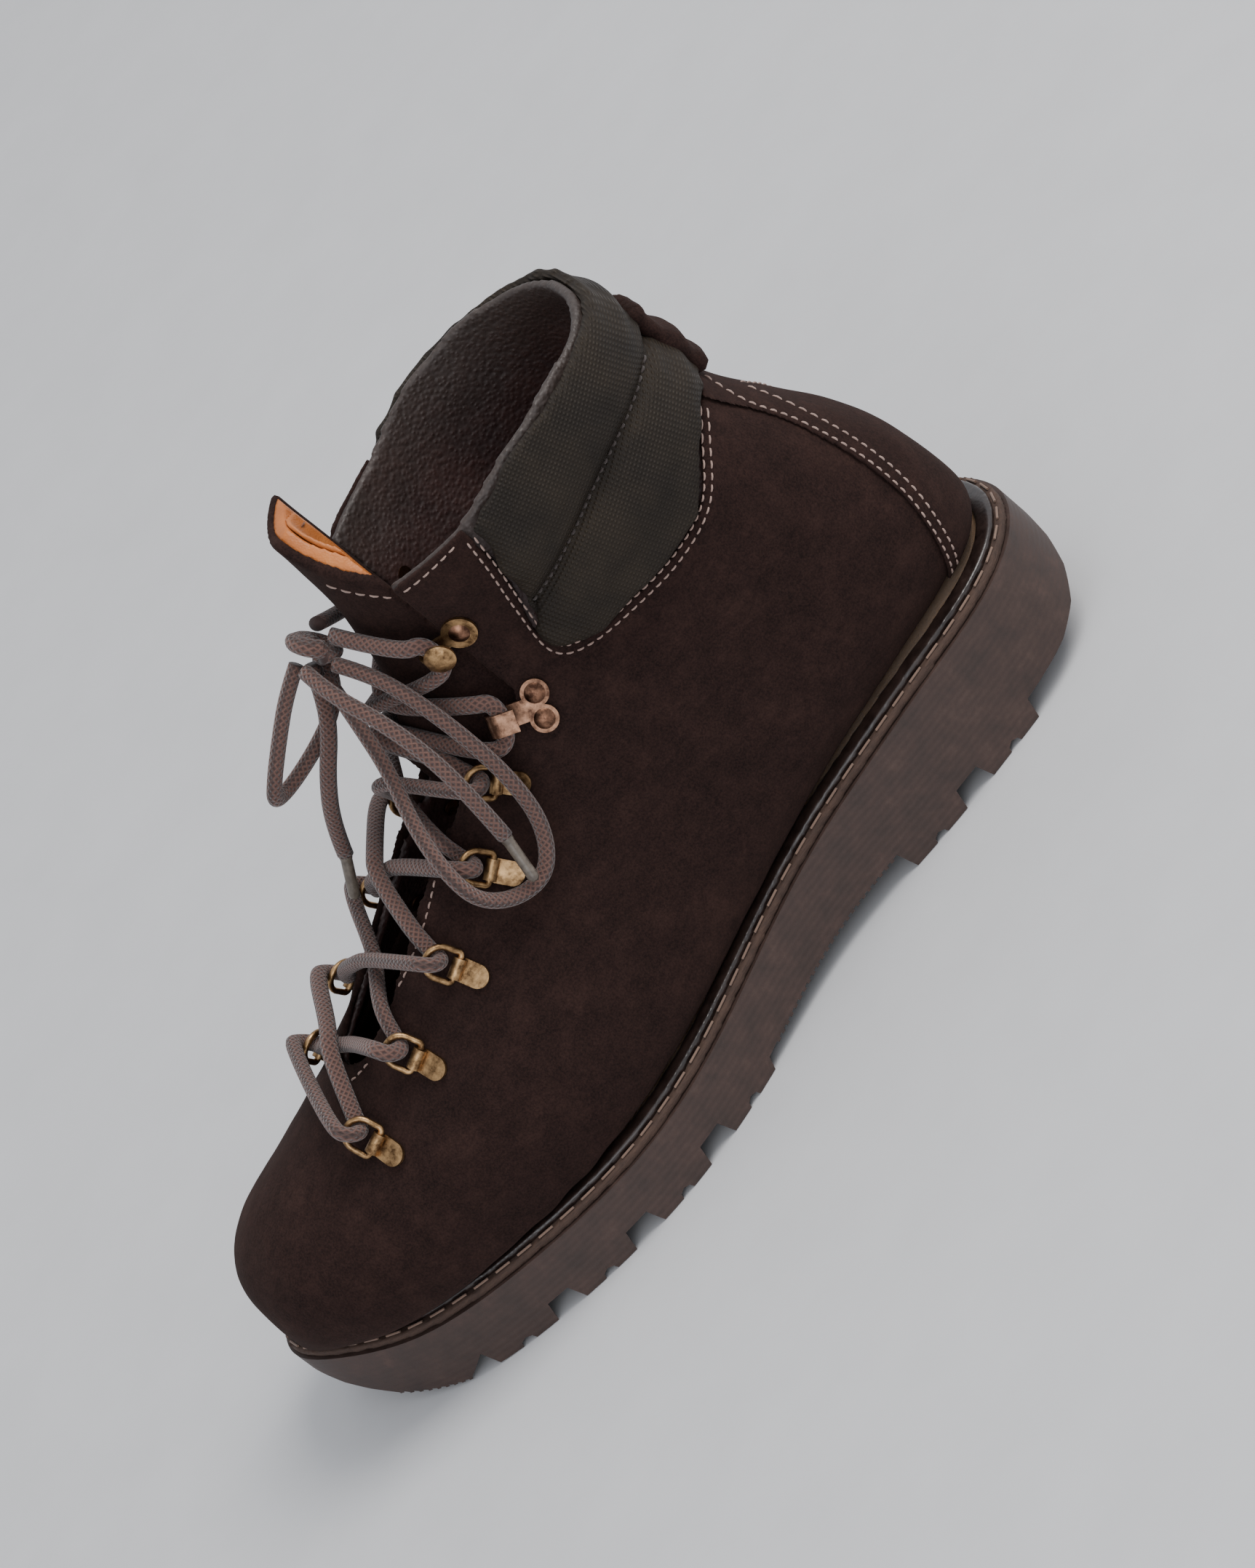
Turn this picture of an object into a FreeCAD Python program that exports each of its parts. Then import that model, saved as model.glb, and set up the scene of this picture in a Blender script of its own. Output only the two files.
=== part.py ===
"""Left hiking boot: suede upper, padded collar, brass lace hardware, lugged rubber sole.

Frame: millimetres, +Z up, toe towards -Y, heel towards +Y, lateral (outer) side +X.
The origin is under the middle of the sole, on the ground. Most places are given by
"back", the distance forward from the back of the heel, so Y = LENGTH / 2 - back.
"""
import FreeCAD, Part
import math
import os

# ---------------------------------------------------------------- driving dimensions
LENGTH = 311.0              # outsole, heel to toe
SUEDE = 1.8                 # thickness of the suede
STIFFENER = 1.2             # heel counter and toe puff
LINING_IN = 4.2             # depth of the lining's inner face below the suede's outer face
COLLAR_OUT = 3.0            # how far the padded collar stands proud of the suede
COVER = 1.2                 # collar leather
PATCH = 1.2                 # backstay and back tab suede
TONGUE_GAP = 0.6            # room between lining and tongue
TONGUE_SUEDE = 1.5
TONGUE_FOAM = 3.5
TONGUE_LEATHER = 1.2
TONGUE_LAP = 9.0            # how far the tongue runs under each facing
GUSSET_WIDTH = 8.0
WELT_THICK = 2.5
WELT_INSET = 1.0            # welt edge in from the rubber's edge
WELT_INNER = 9.0            # inner edge of welt and bead
BEAD_INSET = 3.2
MARGIN = 24.0               # lasting margin, measured from the sole's edge
BOARD_LEVEL = 6.9           # insole board above the rubber's upper edge
STITCH_INSET = 2.1
STITCH_PITCH = 8.0
STITCH_LENGTH = 5.0
SHANK = (110.0, 14.0, 1.2)  # length, width, thickness
SHANK_FRONT = 170.0
SHANK_X = -4.0
BEAD_THICK = 2.2
BOARD_THICK = 2.0
FOOTBED_THICK = 4.0
LUG_DEPTH = 6.2
WIRE_R = 0.9                # D-ring wire
HINGE_CLEARANCE = 0.05      # radial, ring wire in its rolled clip
ROLL_R = 1.9                # outer radius of the clip's roll
ROLL_HALF = 3.0             # half length of the roll
PLATE = 1.0                 # brass plate thickness
RING_HALF = 3.3             # half of the D-ring's straight bar
RING_CORNER = 1.2
RING_REACH = 4.6            # from the hinge axis to the centre of the ring's bow
RING_TILT = 28.0            # degrees above the facing at rest
RIVET_R = 1.2
RIVET_HEAD_R = 2.3
WASHER = 0.4                # inner washer of each rivet
WASHER_DENT = 0.8           # room that a washer presses behind it
DOME_R = 4.5                # roundness of a rivet's domed head
LACE_R = 2.3                # braided lace, drawn tight
STITCH_R = 0.35

V = FreeCAD.Vector


# ---------------------------------------------------------------- small helpers
def at(back, x, z):
    """Point from its distance forward of the heel, its side and its height."""
    return V(x, LENGTH / 2 - back, z)


def spline(points, closed=False):
    curve = Part.BSplineCurve()
    if closed:
        curve.interpolate(Points=points, PeriodicFlag=True)
    else:
        curve.interpolate(Points=points)
    return curve


def smooth(table, u):
    """Smooth value at u through (place, value) pairs, flat past the ends."""
    if u <= table[0][0]:
        return table[0][1]
    if u >= table[-1][0]:
        return table[-1][1]
    i = max(k for k in range(len(table) - 1) if table[k][0] <= u)

    def slope(k):
        lo = max(k - 1, 0)
        hi = min(k + 1, len(table) - 1)
        return (table[hi][1] - table[lo][1]) / (table[hi][0] - table[lo][0])

    u0, v0 = table[i]
    u1, v1 = table[i + 1]
    h = u1 - u0
    t = (u - u0) / h
    return (
        v0 * (2 * t ** 3 - 3 * t ** 2 + 1)
        + slope(i) * h * (t ** 3 - 2 * t ** 2 + t)
        + v1 * (3 * t ** 2 - 2 * t ** 3)
        + slope(i + 1) * h * (t ** 3 - t ** 2)
    )


def side_prism(edges, x_from=-90.0, x_to=90.0):
    """Solid whose side view is the closed run of edges drawn in the plane X = 0."""
    face = Part.Face(Part.Wire(edges))
    face.translate(V(x_from, 0, 0))
    return face.extrude(V(x_to - x_from, 0, 0))


def side_polygon(corners, x_from=-90.0, x_to=90.0):
    """Side prism of a polygon of (back, z) corners."""
    points = [at(back, 0, z) for back, z in corners]
    return side_prism(Part.makePolygon(points + points[:1]).Edges, x_from, x_to)


def save(name, shape):
    """Write one node and keep its shape; slivers under 1 mm3 left by a cut are dropped."""
    solids = [solid for solid in shape.Solids if solid.Volume > 1.0 or name in SMALL]
    shape = solids[0] if len(solids) == 1 else Part.Compound(solids)
    shape.exportStep(os.path.join("parts", name + ".step"))
    PARTS[name] = shape


PARTS = {}
SMALL = ("welt_stitches",)

# ---------------------------------------------------------------- sole
# Outline of the outsole as (back, x), round the lateral side to the toe and back.
OUTLINE = [
    (0, 0), (3.5, 17), (13, 29), (30, 37), (52, 39.5), (80, 40), (115, 38), (145, 43),
    (170, 50), (195, 54), (217, 53), (241, 47.5), (263, 39), (284, 26.5), (301, 8),
    (311, -13), (306, -30), (292, -42.5), (270, -50.5), (247, -54), (222, -52.5),
    (197, -46), (170, -36.5), (140, -31), (110, -31), (80, -34.5), (52, -37),
    (30, -35.5), (13, -27.5), (3.5, -16),
]
# Height of the rubber's upper edge along the sole.
RUBBER_TOP = [
    (0, 36), (41, 35.5), (81, 33), (121, 26.5), (161, 21), (201, 19), (241, 20),
    (281, 22), (300, 25), (311, 27.5),
]
# Height of the lug tips and of the rubber between them.
TREAD = [
    (0, 26), (4, 14), (16, 7.5), (32, 3), (40, 0), (225, 0), (270, 0), (283, 1),
    (295, 4), (303, 8), (311, 14),
]
# Each lug from its heel side to its toe side, in "back".
LUGS = [(41, 64.5), (73, 97), (162, 185), (193, 216), (224, 246), (253, 276)]
LUG_DRAFT = 1.6
NOTCH_R = 2.2
WAIST_RISE = [(97, 1.1), (130, 0.0), (162, -2.6)]


def outline_wire(inset):
    """The sole outline moved inward by inset, at Z = 0."""
    base = spline([at(back, x, 0) for back, x in OUTLINE], closed=True)
    first = base.FirstParameter
    last = base.LastParameter
    points = []
    count = 48
    for k in range(count):
        u = first + (last - first) * k / count
        tangent = base.tangent(u)[0]
        points.append(base.value(u) + V(tangent.y, -tangent.x, 0) * (-inset * TURN))
    return Part.Wire(spline(points, closed=True).toShape())


def outline_turn():
    """+1 or -1: which side of the outline's tangent is the outside."""
    base = spline([at(back, x, 0) for back, x in OUTLINE], closed=True)
    tangent = base.tangent(base.FirstParameter)[0]
    return 1.0 if tangent.x > 0 else -1.0


TURN = -outline_turn()


def outline_prism(inset, z_from=-5.0, z_to=90.0):
    face = Part.Face(outline_wire(inset))
    face.translate(V(0, 0, z_from))
    return face.extrude(V(0, 0, z_to - z_from))


def level_edge(lift):
    """Side-view edge that follows the rubber's upper edge, lift above it."""
    points = [at(back, 0, z + lift) for back, z in RUBBER_TOP]
    points = [at(-8, 0, RUBBER_TOP[0][1] + lift)] + points
    points.append(at(LENGTH + 8, 0, RUBBER_TOP[-1][1] + lift + 2))
    return spline(points).toShape()


def layer(low, high, inset):
    """Slab between two heights above the rubber's upper edge, inside the outline."""
    bottom = level_edge(low)
    top = level_edge(high)
    ends = [
        Part.makeLine(bottom.valueAt(bottom.FirstParameter), top.valueAt(top.FirstParameter)),
        Part.makeLine(bottom.valueAt(bottom.LastParameter), top.valueAt(top.LastParameter)),
    ]
    edges = Part.__sortEdges__([bottom, ends[1], top, ends[0]])
    return side_prism(edges).common(outline_prism(inset))


def root_height(back):
    """Height of the rubber between the lugs."""
    return tread_height(back) + LUG_DEPTH * (1.0 if 36 < back < 282 else 0.0) + waist(back)


def waist(back):
    return smooth(WAIST_RISE, back) if 97 <= back <= 162 else 0.0


def tread_height(back):
    """Height of the lug tips, which never reach below the floor."""
    return max(0.0, smooth(TREAD, back))


def tread_points():
    """Bottom line of the sole from heel to toe: lug flanks, tips, gaps and fine ribs."""
    points = [(0.0, 26.0), (1.5, 19.0), (5.0, 13.5), (12.0, 9.0), (22.0, 6.8)]
    for k, (start, end) in enumerate(LUGS):
        points.append((start, root_height(start)))
        points.append((start + LUG_DRAFT, tread_height(start)))
        middle = (start + end) / 2
        tip = tread_height(middle)
        points.append((middle - NOTCH_R, tip))
        points.append((middle - 0.8 * NOTCH_R, tip + 1.4))
        points.append((middle, tip + NOTCH_R))
        points.append((middle + 0.8 * NOTCH_R, tip + 1.4))
        points.append((middle + NOTCH_R, tip))
        points.append((end - LUG_DRAFT, tread_height(end)))
        points.append((end, root_height(end)))
        if k == 1:
            points += ribs(end + 1.5, LUGS[2][0] - 1.5, 2.5, 0.7)
    points += ribs(283.0, 302.0, 2.0, 0.5)
    points += [(304.5, 10.0), (308.0, 14.5), (310.5, 20.0)]
    return points


def ribs(start, end, pitch, depth):
    """Fine square ribs under the waist and the toe."""
    out = []
    back = start
    while back + pitch <= end:
        z = tread_height(back) if back > 280 else LUG_DEPTH + waist(back)
        out += [(back, z), (back, z - depth), (back + pitch / 2, z - depth), (back + pitch / 2, z)]
        back += pitch
    return out


def tread_grooves():
    """Lengthwise grooves that part the lugs into side lugs and centre lugs."""
    cuts = []
    for x, start, end in ((13, 166, 270), (-14, 166, 270), (12, 43, 92), (-12, 43, 92)):
        length = end - start
        box = Part.makeBox(5.0, length, LUG_DEPTH - 1.0)
        box.translate(at(end, x - 2.5, -0.5))
        cuts.append(box)
    return cuts


def make_outsole():
    bottom = [at(back, 0, z) for back, z in tread_points()]
    top = level_edge(0.0)
    heel_end = top.valueAt(top.FirstParameter)
    toe_end = top.valueAt(top.LastParameter)
    corners = [heel_end, at(-8, 0, 26.0)] + bottom + [at(LENGTH + 8, 0, 21.0), toe_end]
    edges = Part.makePolygon(corners).Edges + [top]
    body = side_prism(Part.__sortEdges__(edges)).common(outline_prism(0.0))
    for cut in tread_grooves():
        body = body.cut(cut)
    return body.removeSplitter()


# ---------------------------------------------------------------- upper
# Stations of the last, toe to collar. Each is a plane through a point on the bottom or
# back line and one on the top or front line: (back, z) low, (back, z) high, lateral and
# medial reach, x of the middle, height share of the widest place, lower roundness.
STATIONS = [
    ((306, 29), (307, 43), 2, -25, -11, 0.45, 2.2),
    ((300, 27.5), (304, 55), 15, -35.5, -9, 0.40, 2.4),
    ((288, 25.5), (293, 65), 28, -43.5, -7, 0.35, 3.6),
    ((269, 24), (276, 70.5), 38, -48, -4, 0.30, 5.0),
    ((244, 22.8), (252, 75.5), 45, -50, -1, 0.28, 6.0),
    ((218, 21.8), (227, 85), 50, -48, 1, 0.27, 6.0),
    ((190, 21.8), (204, 98), 49.5, -41.5, 2, 0.26, 6.0),
    ((158, 24), (184, 112), 43.5, -35, 2, 0.26, 6.0),
    ((120, 29.5), (168, 124), 37.5, -32.5, 2, 0.30, 5.5),
    ((80, 35.8), (158, 134), 37.5, -33, 1.5, 0.36, 5.0),
    ((40, 38.2), (152.5, 143), 37, -34.5, 1, 0.42, 4.0),
    ((9, 44), (149, 151), 36.5, -35.5, 1, 0.46, 2.8),
    ((6, 64), (147, 158), 36.5, -36, 1, 0.48, 2.5),
    ((9.5, 84), (145.5, 164), 37, -37, 1, 0.50, 2.3),
    ((18.5, 104), (144.5, 169), 38, -38, 1, 0.50, 2.3),
    ((28, 124), (144, 174), 39, -39, 1, 0.50, 2.3),
    ((32, 146), (143.5, 181), 40, -40, 1, 0.50, 2.3),
    ((33, 168), (143, 191), 40.5, -40.5, 1, 0.50, 2.3),
    ((34.5, 192), (143, 204), 41, -41, 1, 0.50, 2.3),
    ((35, 214), (143, 222), 41, -41, 1, 0.50, 2.3),
]
TOE_SHIFT = (1.0, 0.75, 0.4, 0.15)      # share of an inset that also draws the toe back
QUARTER_STEPS = 6
MEDIAL_ROUND = 1.8          # the medial side falls away a little flatter than the lateral


def section(station, index, inset):
    """Closed run of points round one section of the last, drawn in by inset."""
    (low_b, low_z), (high_b, high_z), lateral, medial, middle, share, round_low = station
    low = at(low_b, middle, low_z)
    high = at(high_b, middle, high_z)
    axis = high - low
    height = axis.Length
    axis.normalize()
    shift = V(0, TOE_SHIFT[index] * inset, 0) if index < len(TOE_SHIFT) else V(0, 0, 0)
    low = low + axis * inset + shift
    height = height - 2 * inset
    widest = share * height
    halves = []
    for side, reach in ((1, lateral - middle - inset), (-1, middle - medial - inset)):
        half = []
        for k in range(QUARTER_STEPS):
            turn = math.pi / 2 * k / QUARTER_STEPS
            power = 2 / round_low
            half.append((reach * math.sin(turn) ** power,
                         widest * (1 - math.cos(turn) ** power)))
        for k in range(QUARTER_STEPS + 1):
            turn = math.pi / 2 * k / QUARTER_STEPS
            power = 2 / (2.0 if side > 0 else MEDIAL_ROUND)
            half.append((reach * math.cos(turn) ** power,
                         widest + (height - widest) * math.sin(turn) ** power))
        halves.append([low + axis * up + V(side * out, 0, 0) for out, up in half])
    return halves[0] + halves[1][-2:0:-1]


def skin(rings):
    """Solid whose side is one smooth surface through closed rings of points."""
    turns = [float(k) for k in range(len(rings[0]) + 1)]
    hoops = []
    for ring in rings:
        hoop = Part.BSplineCurve()
        hoop.interpolate(Points=ring, PeriodicFlag=True, Parameters=turns)
        hoops.append(hoop)
    steps = [0.0]
    for one, two in zip(rings, rings[1:]):
        gap = sum((b - a).Length for a, b in zip(one, two)) / len(one)
        steps.append(steps[-1] + gap)
    ribs_along = []
    for k in range(1, hoops[0].NbPoles + 1):
        rib = Part.BSplineCurve()
        rib.interpolate(Points=[hoop.getPole(k) for hoop in hoops], Parameters=steps)
        ribs_along.append(rib)
    poles = [[rib.getPole(i) for rib in ribs_along] for i in range(1, ribs_along[0].NbPoles + 1)]
    surface = Part.BSplineSurface()
    surface.buildFromPolesMultsKnots(
        poles, ribs_along[0].getMultiplicities(), hoops[0].getMultiplicities(),
        ribs_along[0].getKnots(), hoops[0].getKnots(), False, True,
        ribs_along[0].Degree, hoops[0].Degree,
    )
    side = surface.toShape()
    caps = []
    for hoop in (hoops[0], hoops[-1]):
        caps.append(Part.Face(Part.Wire(hoop.toShape())))
    skin_shell = Part.Shell([side] + caps)
    skin_shell.sewShape()
    solid = Part.Solid(skin_shell)
    if solid.Volume < 0:
        solid.reverse()
    return solid


def last_solid(inset):
    """The closed form of the upper, drawn in by inset, without toe stations too small for it."""
    first = 0 if inset < 5 else 3
    return skin([section(s, i, inset) for i, s in enumerate(STATIONS) if i >= first])


def rim_cut():
    """Everything above the collar's top edge."""
    edge = spline([at(b, 0, z) for b, z in RIM]).toShape()
    ends = [at(RIM[0][0], 0, 260), at(RIM[-1][0], 0, 260)]
    box = Part.makePolygon([edge.valueAt(edge.LastParameter), ends[1], ends[0],
                            edge.valueAt(edge.FirstParameter)]).Edges
    return side_prism(Part.__sortEdges__(box + [edge]))


RIM = [(-10, 177), (34, 177), (50, 178), (70, 178), (86, 176.5), (102, 173), (120, 172),
       (137, 171.5), (170, 166)]
# Side-view edge of the padded collar, from the rim at the front round under to the back.
COLLAR_EDGE = [(103.5, 178), (104.5, 163), (108, 144), (111.5, 128), (105, 121.5), (90, 119),
               (72, 118), (58, 121), (46, 129), (31, 134), (-10, 135)]
# Half width of the opening between the two facings, from the vamp to the top.
THROAT = [(236, 0), (234.5, 6), (229, 10.5), (215, 13.5), (190, 16), (165, 18.5),
          (148, 21.5), (128, 27)]
THROAT_MIDDLE = [(128, 1), (165, 2.5), (200, 2.5), (236, 0.5)]


def throat_prism(extra):
    """Upright prism over the lace opening, widened by extra on each side."""
    front_back, _ = THROAT[0]
    front = at(front_back + extra, smooth(THROAT_MIDDLE, front_back), 60)
    sides = []
    for side in (1, -1):
        points = [front]
        for back, half in THROAT[1:]:
            points.append(at(back + 0.5 * extra * (back > 225), smooth(THROAT_MIDDLE, back)
                             + side * (half + extra), 60))
        sides.append(points)
    bow = spline(sides[0][::-1] + sides[1][1:]).toShape()
    close = Part.makeLine(sides[0][-1], sides[1][-1])
    return Part.Face(Part.Wire([bow, close])).extrude(V(0, 0, 180))


def collar_zone(grow=0.0):
    edge = spline([at(b + grow, 0, z - grow) for b, z in COLLAR_EDGE]).toShape()
    start = edge.valueAt(edge.FirstParameter)
    end = edge.valueAt(edge.LastParameter)
    top = [start, V(0, start.y, 240), V(0, end.y, 240), end]
    return side_prism(Part.__sortEdges__([edge] + Part.makePolygon(top).Edges))


LASTS = {}


def last(inset):
    """The form of the upper drawn in by inset, built once."""
    if inset not in LASTS:
        LASTS[inset] = last_solid(inset)
    return LASTS[inset]


def shell(outer, inner):
    """Layer of the upper between two depths."""
    return last(outer).cut(last(inner))


def strip(half):
    """Upright slab along the middle of the boot."""
    return Part.makeBox(2 * half, LENGTH, 300, V(-half + 1, -LENGTH / 2, 0))


# Side-view outlines of the heel patch, its stiffener and the toe puff.
BACKSTAY_EDGE = [(36, 140), (34, 131), (26, 112), (21, 90), (20.5, 68), (25, 52), (33, 30)]
COUNTER_EDGE = [(8, 96), (40, 92), (70, 66), (86, 20)]
PUFF_EDGE = [(262, 20), (264, 50), (272, 80)]
TONGUE_TOP = [(160, 190), (150, 193), (141, 194.5), (125, 195), (100, 193)]
# Front-view line (x, height) where the tongue leans down towards the outer side.
TONGUE_SLOPE = [(-60, 200), (-6, 200), (3, 194), (14, 183), (25, 169), (45, 150)]
PATCH_EDGE = [(160, 202), (141, 200), (131, 195), (125, 187), (123.5, 174), (126.5, 160),
              (135, 150), (152, 146)]
TONGUE_BACK = 107           # the tongue's free edges stand this far forward of the heel
TAB_HALF = 8.0
TAB_SPAN = (128.0, 158.0)


def zone_behind(edge):
    """Side prism of everything between an edge and the back of the heel."""
    curve = spline([at(b, 0, z) for b, z in edge]).toShape()
    first = curve.valueAt(curve.FirstParameter)
    final = curve.valueAt(curve.LastParameter)
    back = LENGTH / 2 + 12
    corners = [first, V(0, back, first.z), V(0, back, final.z), final]
    return side_prism(Part.__sortEdges__([curve] + Part.makePolygon(corners).Edges))


def counter_zone():
    curve = spline([at(b, 0, z) for b, z in COUNTER_EDGE]).toShape()
    corners = [curve.valueAt(curve.FirstParameter), at(-12, 0, 96), at(-12, 0, 20),
               curve.valueAt(curve.LastParameter)]
    return side_prism(Part.__sortEdges__([curve] + Part.makePolygon(corners).Edges))


def puff_zone():
    curve = spline([at(b, 0, z) for b, z in PUFF_EDGE]).toShape()
    corners = [curve.valueAt(curve.FirstParameter), at(330, 0, 20), at(330, 0, 80),
               curve.valueAt(curve.LastParameter)]
    return side_prism(Part.__sortEdges__([curve] + Part.makePolygon(corners).Edges))


def below_edge(edge):
    """Side prism of everything under a top edge."""
    curve = spline([at(b, 0, z) for b, z in edge]).toShape()
    first = curve.valueAt(curve.FirstParameter)
    final = curve.valueAt(curve.LastParameter)
    corners = [first, V(0, first.y, 40), V(0, final.y, 40), final]
    return side_prism(Part.__sortEdges__([curve] + Part.makePolygon(corners).Edges))


# ---------------------------------------------------------------- lace hardware
# Places on the facing as (back, x, z): five ring clips, the lower and the upper hook.
RING_PLACES = {
    "lateral": [(246, 25, 67), (220.5, 28.5, 76), (195, 30, 85.5), (169.5, 31, 98),
                (151, 31, 113)],
    "medial": [(237, -20, 70), (217, -22, 77), (193, -23, 88), (168, -24, 101),
               (151.2, -24, 115.2)],
}
HOOK_PLACES = {
    "lateral": [(134, 26, 121), (132, 26, 149)],
    "medial": [(134, -24, 121), (132, -24, 149)],
}
LIFT = 0.1                  # brass off the suede, so that faces do not cross
HOOK_WIDTH = 6.4
HOOK_GAP = 5.4              # inside height of the hook, for one lace
HOOK_REACH = 7.0
HOOK_PLATE_R = 4.0
RIVET_SPACING = 7.6
CLIP_RIVET = -5.2            # w of a clip's hidden rivet
HOOK_RIVET = -9.0            # w of a lower hook's two rivets
UPPER_RIVET = -6.5           # w of an upper hook's rivet


class Seat:
    """A place on the upper with its own axes: u along the facing, w to the lacing, n out."""

    def __init__(self, target, toward_next, side):
        face = max(last(0.0).Faces, key=lambda f: f.Area)
        _, pairs, _ = face.distToShape(Part.Vertex(target))
        self.point = pairs[0][0]
        normal = face.normalAt(*face.Surface.parameter(self.point))
        if normal.dot(V(side, 0, 0.3)) < 0:
            normal = normal * -1
        self.n = normal
        along = toward_next - normal * toward_next.dot(normal)
        along.normalize()
        self.u = along
        across = normal.cross(along)
        if across.x * side > 0:
            across = across * -1
        self.w = across

    def place(self, shape):
        """Move a shape from local axes (X = u, Y = w, Z = n) to this seat."""
        u, w, n, p = self.u, self.w, self.n, self.point
        if u.cross(w).dot(n) < 0:
            u = u * -1
        matrix = FreeCAD.Matrix(u.x, w.x, n.x, p.x, u.y, w.y, n.y, p.y,
                                u.z, w.z, n.z, p.z, 0, 0, 0, 1)
        moved = shape.copy()
        moved.Placement = FreeCAD.Placement(matrix).multiply(moved.Placement)
        return moved

    def spot(self, u, w, n):
        return self.point + self.u * u + self.w * w + self.n * n


def seats(side_name):
    side = 1 if side_name == "lateral" else -1
    targets = [at(b, x, z) for b, x, z in RING_PLACES[side_name] + HOOK_PLACES[side_name]]
    out = []
    for k, target in enumerate(targets):
        before = targets[max(k - 1, 0)]
        after = targets[min(k + 1, len(targets) - 1)]
        out.append(Seat(target, after - before, side))
    return out


def capsule_plate(half_width, reach, thick):
    """Plate from the roll to its rounded end."""
    box = Part.makeBox(2 * half_width, reach - half_width - 1.0, thick,
                       V(-half_width, -reach + half_width, LIFT))
    end = Part.makeCylinder(half_width, thick, V(0, -reach + half_width, LIFT))
    return box.fuse(end)


def ring_clip():
    """Folded brass strap: a roll that holds the ring's bar and a plate with a round end."""
    centre = ROLL_R + LIFT
    roll = Part.makeCylinder(ROLL_R, 2 * ROLL_HALF, V(-ROLL_HALF, 0, centre), V(1, 0, 0))
    bore = Part.makeCylinder(WIRE_R + HINGE_CLEARANCE, 2 * ROLL_HALF + 2,
                             V(-ROLL_HALF - 1, 0, centre), V(1, 0, 0))
    return capsule_plate(3.4, 9.2, PLATE).fuse(roll).cut(bore).removeSplitter()


def d_ring():
    """Closed ring of round wire: a straight bar and a round bow, raised at rest."""
    half, corner, reach = RING_HALF, RING_CORNER, RING_REACH
    wide = half + corner
    k = corner * (1 - math.sqrt(0.5))
    path = Part.Wire([
        Part.makeLine(V(-half, 0, 0), V(half, 0, 0)),
        Part.Arc(V(half, 0, 0), V(wide - k, k, 0), V(wide, corner, 0)).toShape(),
        Part.makeLine(V(wide, corner, 0), V(wide, reach, 0)),
        Part.Arc(V(wide, reach, 0), V(0, reach + wide, 0), V(-wide, reach, 0)).toShape(),
        Part.makeLine(V(-wide, reach, 0), V(-wide, corner, 0)),
        Part.Arc(V(-wide, corner, 0), V(-wide + k, k, 0), V(-half, 0, 0)).toShape(),
    ])
    circle = Part.Wire(Part.makeCircle(WIRE_R, V(-half, 0, 0), V(1, 0, 0)))
    ring = path.makePipeShell([circle], True, False)
    ring.rotate(V(0, 0, 0), V(1, 0, 0), RING_TILT)
    ring.translate(V(0, 0, ROLL_R + LIFT))
    return ring


def rivet(x, y, domed):
    """Shank through suede and lining with an inner washer, and a domed head on a hook."""
    depth = LINING_IN + WASHER
    top = PLATE + LIFT if domed else LIFT
    body = Part.makeCylinder(RIVET_R, depth + top, V(x, y, -depth))
    body = body.fuse(Part.makeCylinder(RIVET_HEAD_R, WASHER, V(x, y, -depth)))
    if domed:
        dome = Part.makeSphere(DOME_R, V(x, y, top + 1.1 - DOME_R))
        body = body.fuse(dome.common(Part.makeCylinder(3.0, 3, V(x, y, top))))
    return body


def rivet_hole(x, y):
    return Part.makeCylinder(RIVET_R, LINING_IN + 2.0, V(x, y, -LINING_IN - 1.0))


def washer_room(x, y):
    """The dent that a rivet's washer presses into the soft pieces behind it."""
    depth = LINING_IN + WASHER + WASHER_DENT
    return Part.makeCylinder(RIVET_HEAD_R + 0.15, WASHER + WASHER_DENT + 0.1, V(x, y, -depth))


def hook_curl(width, reach):
    """Strap that rises from the plate, bends over the lace and ends in a blunt nose."""
    inner = HOOK_GAP / 2
    outer = inner + PLATE
    centre = V(0, 2.0, PLATE + LIFT + inner)
    tube = Part.makeCylinder(outer, width, centre + V(-width / 2, 0, 0), V(1, 0, 0))
    hollow = Part.makeCylinder(inner, width, centre + V(-width / 2, 0, 0), V(1, 0, 0))
    bend = tube.cut(hollow).common(Part.makeBox(width, outer, 2 * outer,
                                                centre + V(-width / 2, 0, -outer)))
    lip = Part.makeBox(width, reach, PLATE, centre + V(-width / 2, -reach, inner))
    foot = Part.makeBox(width, reach, PLATE, centre + V(-width / 2, -reach, -outer))
    return bend.fuse(lip).fuse(foot)


def hook_lower():
    """Open hook on a plate with two rivets."""
    plate = Part.makeBox(HOOK_WIDTH, 8.0, PLATE, V(-HOOK_WIDTH / 2, -8.0, LIFT))
    for x in (-RIVET_SPACING / 2, RIVET_SPACING / 2):
        plate = plate.fuse(Part.makeCylinder(HOOK_PLATE_R, PLATE, V(x, HOOK_RIVET, LIFT)))
    body = plate.fuse(hook_curl(HOOK_WIDTH, 4.5))
    for x in (-RIVET_SPACING / 2, RIVET_SPACING / 2):
        body = body.cut(Part.makeCylinder(RIVET_R, 4, V(x, HOOK_RIVET, -1)))
    return body.removeSplitter()


def hook_upper():
    """Hook with an oval domed nose on a round base."""
    base = Part.makeCylinder(5.0, PLATE, V(0, UPPER_RIVET, LIFT))
    curl = hook_curl(4.4, 4.5)
    top = PLATE + LIFT + HOOK_GAP
    nose = Part.makeSphere(7.0, V(0, 0, top + 2.2 - 7.0))
    nose = nose.common(Part.makeCylinder(4.4, 8, V(0, 0, top)))
    body = base.fuse(curl).fuse(nose)
    return body.cut(Part.makeCylinder(RIVET_R, 4, V(0, UPPER_RIVET, -1))).removeSplitter()


# ---------------------------------------------------------------- assembly
def bead_level():
    """Everything below the top of the glossy bead."""
    return layer(-40.0, WELT_THICK + BEAD_THICK, -30.0)


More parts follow.
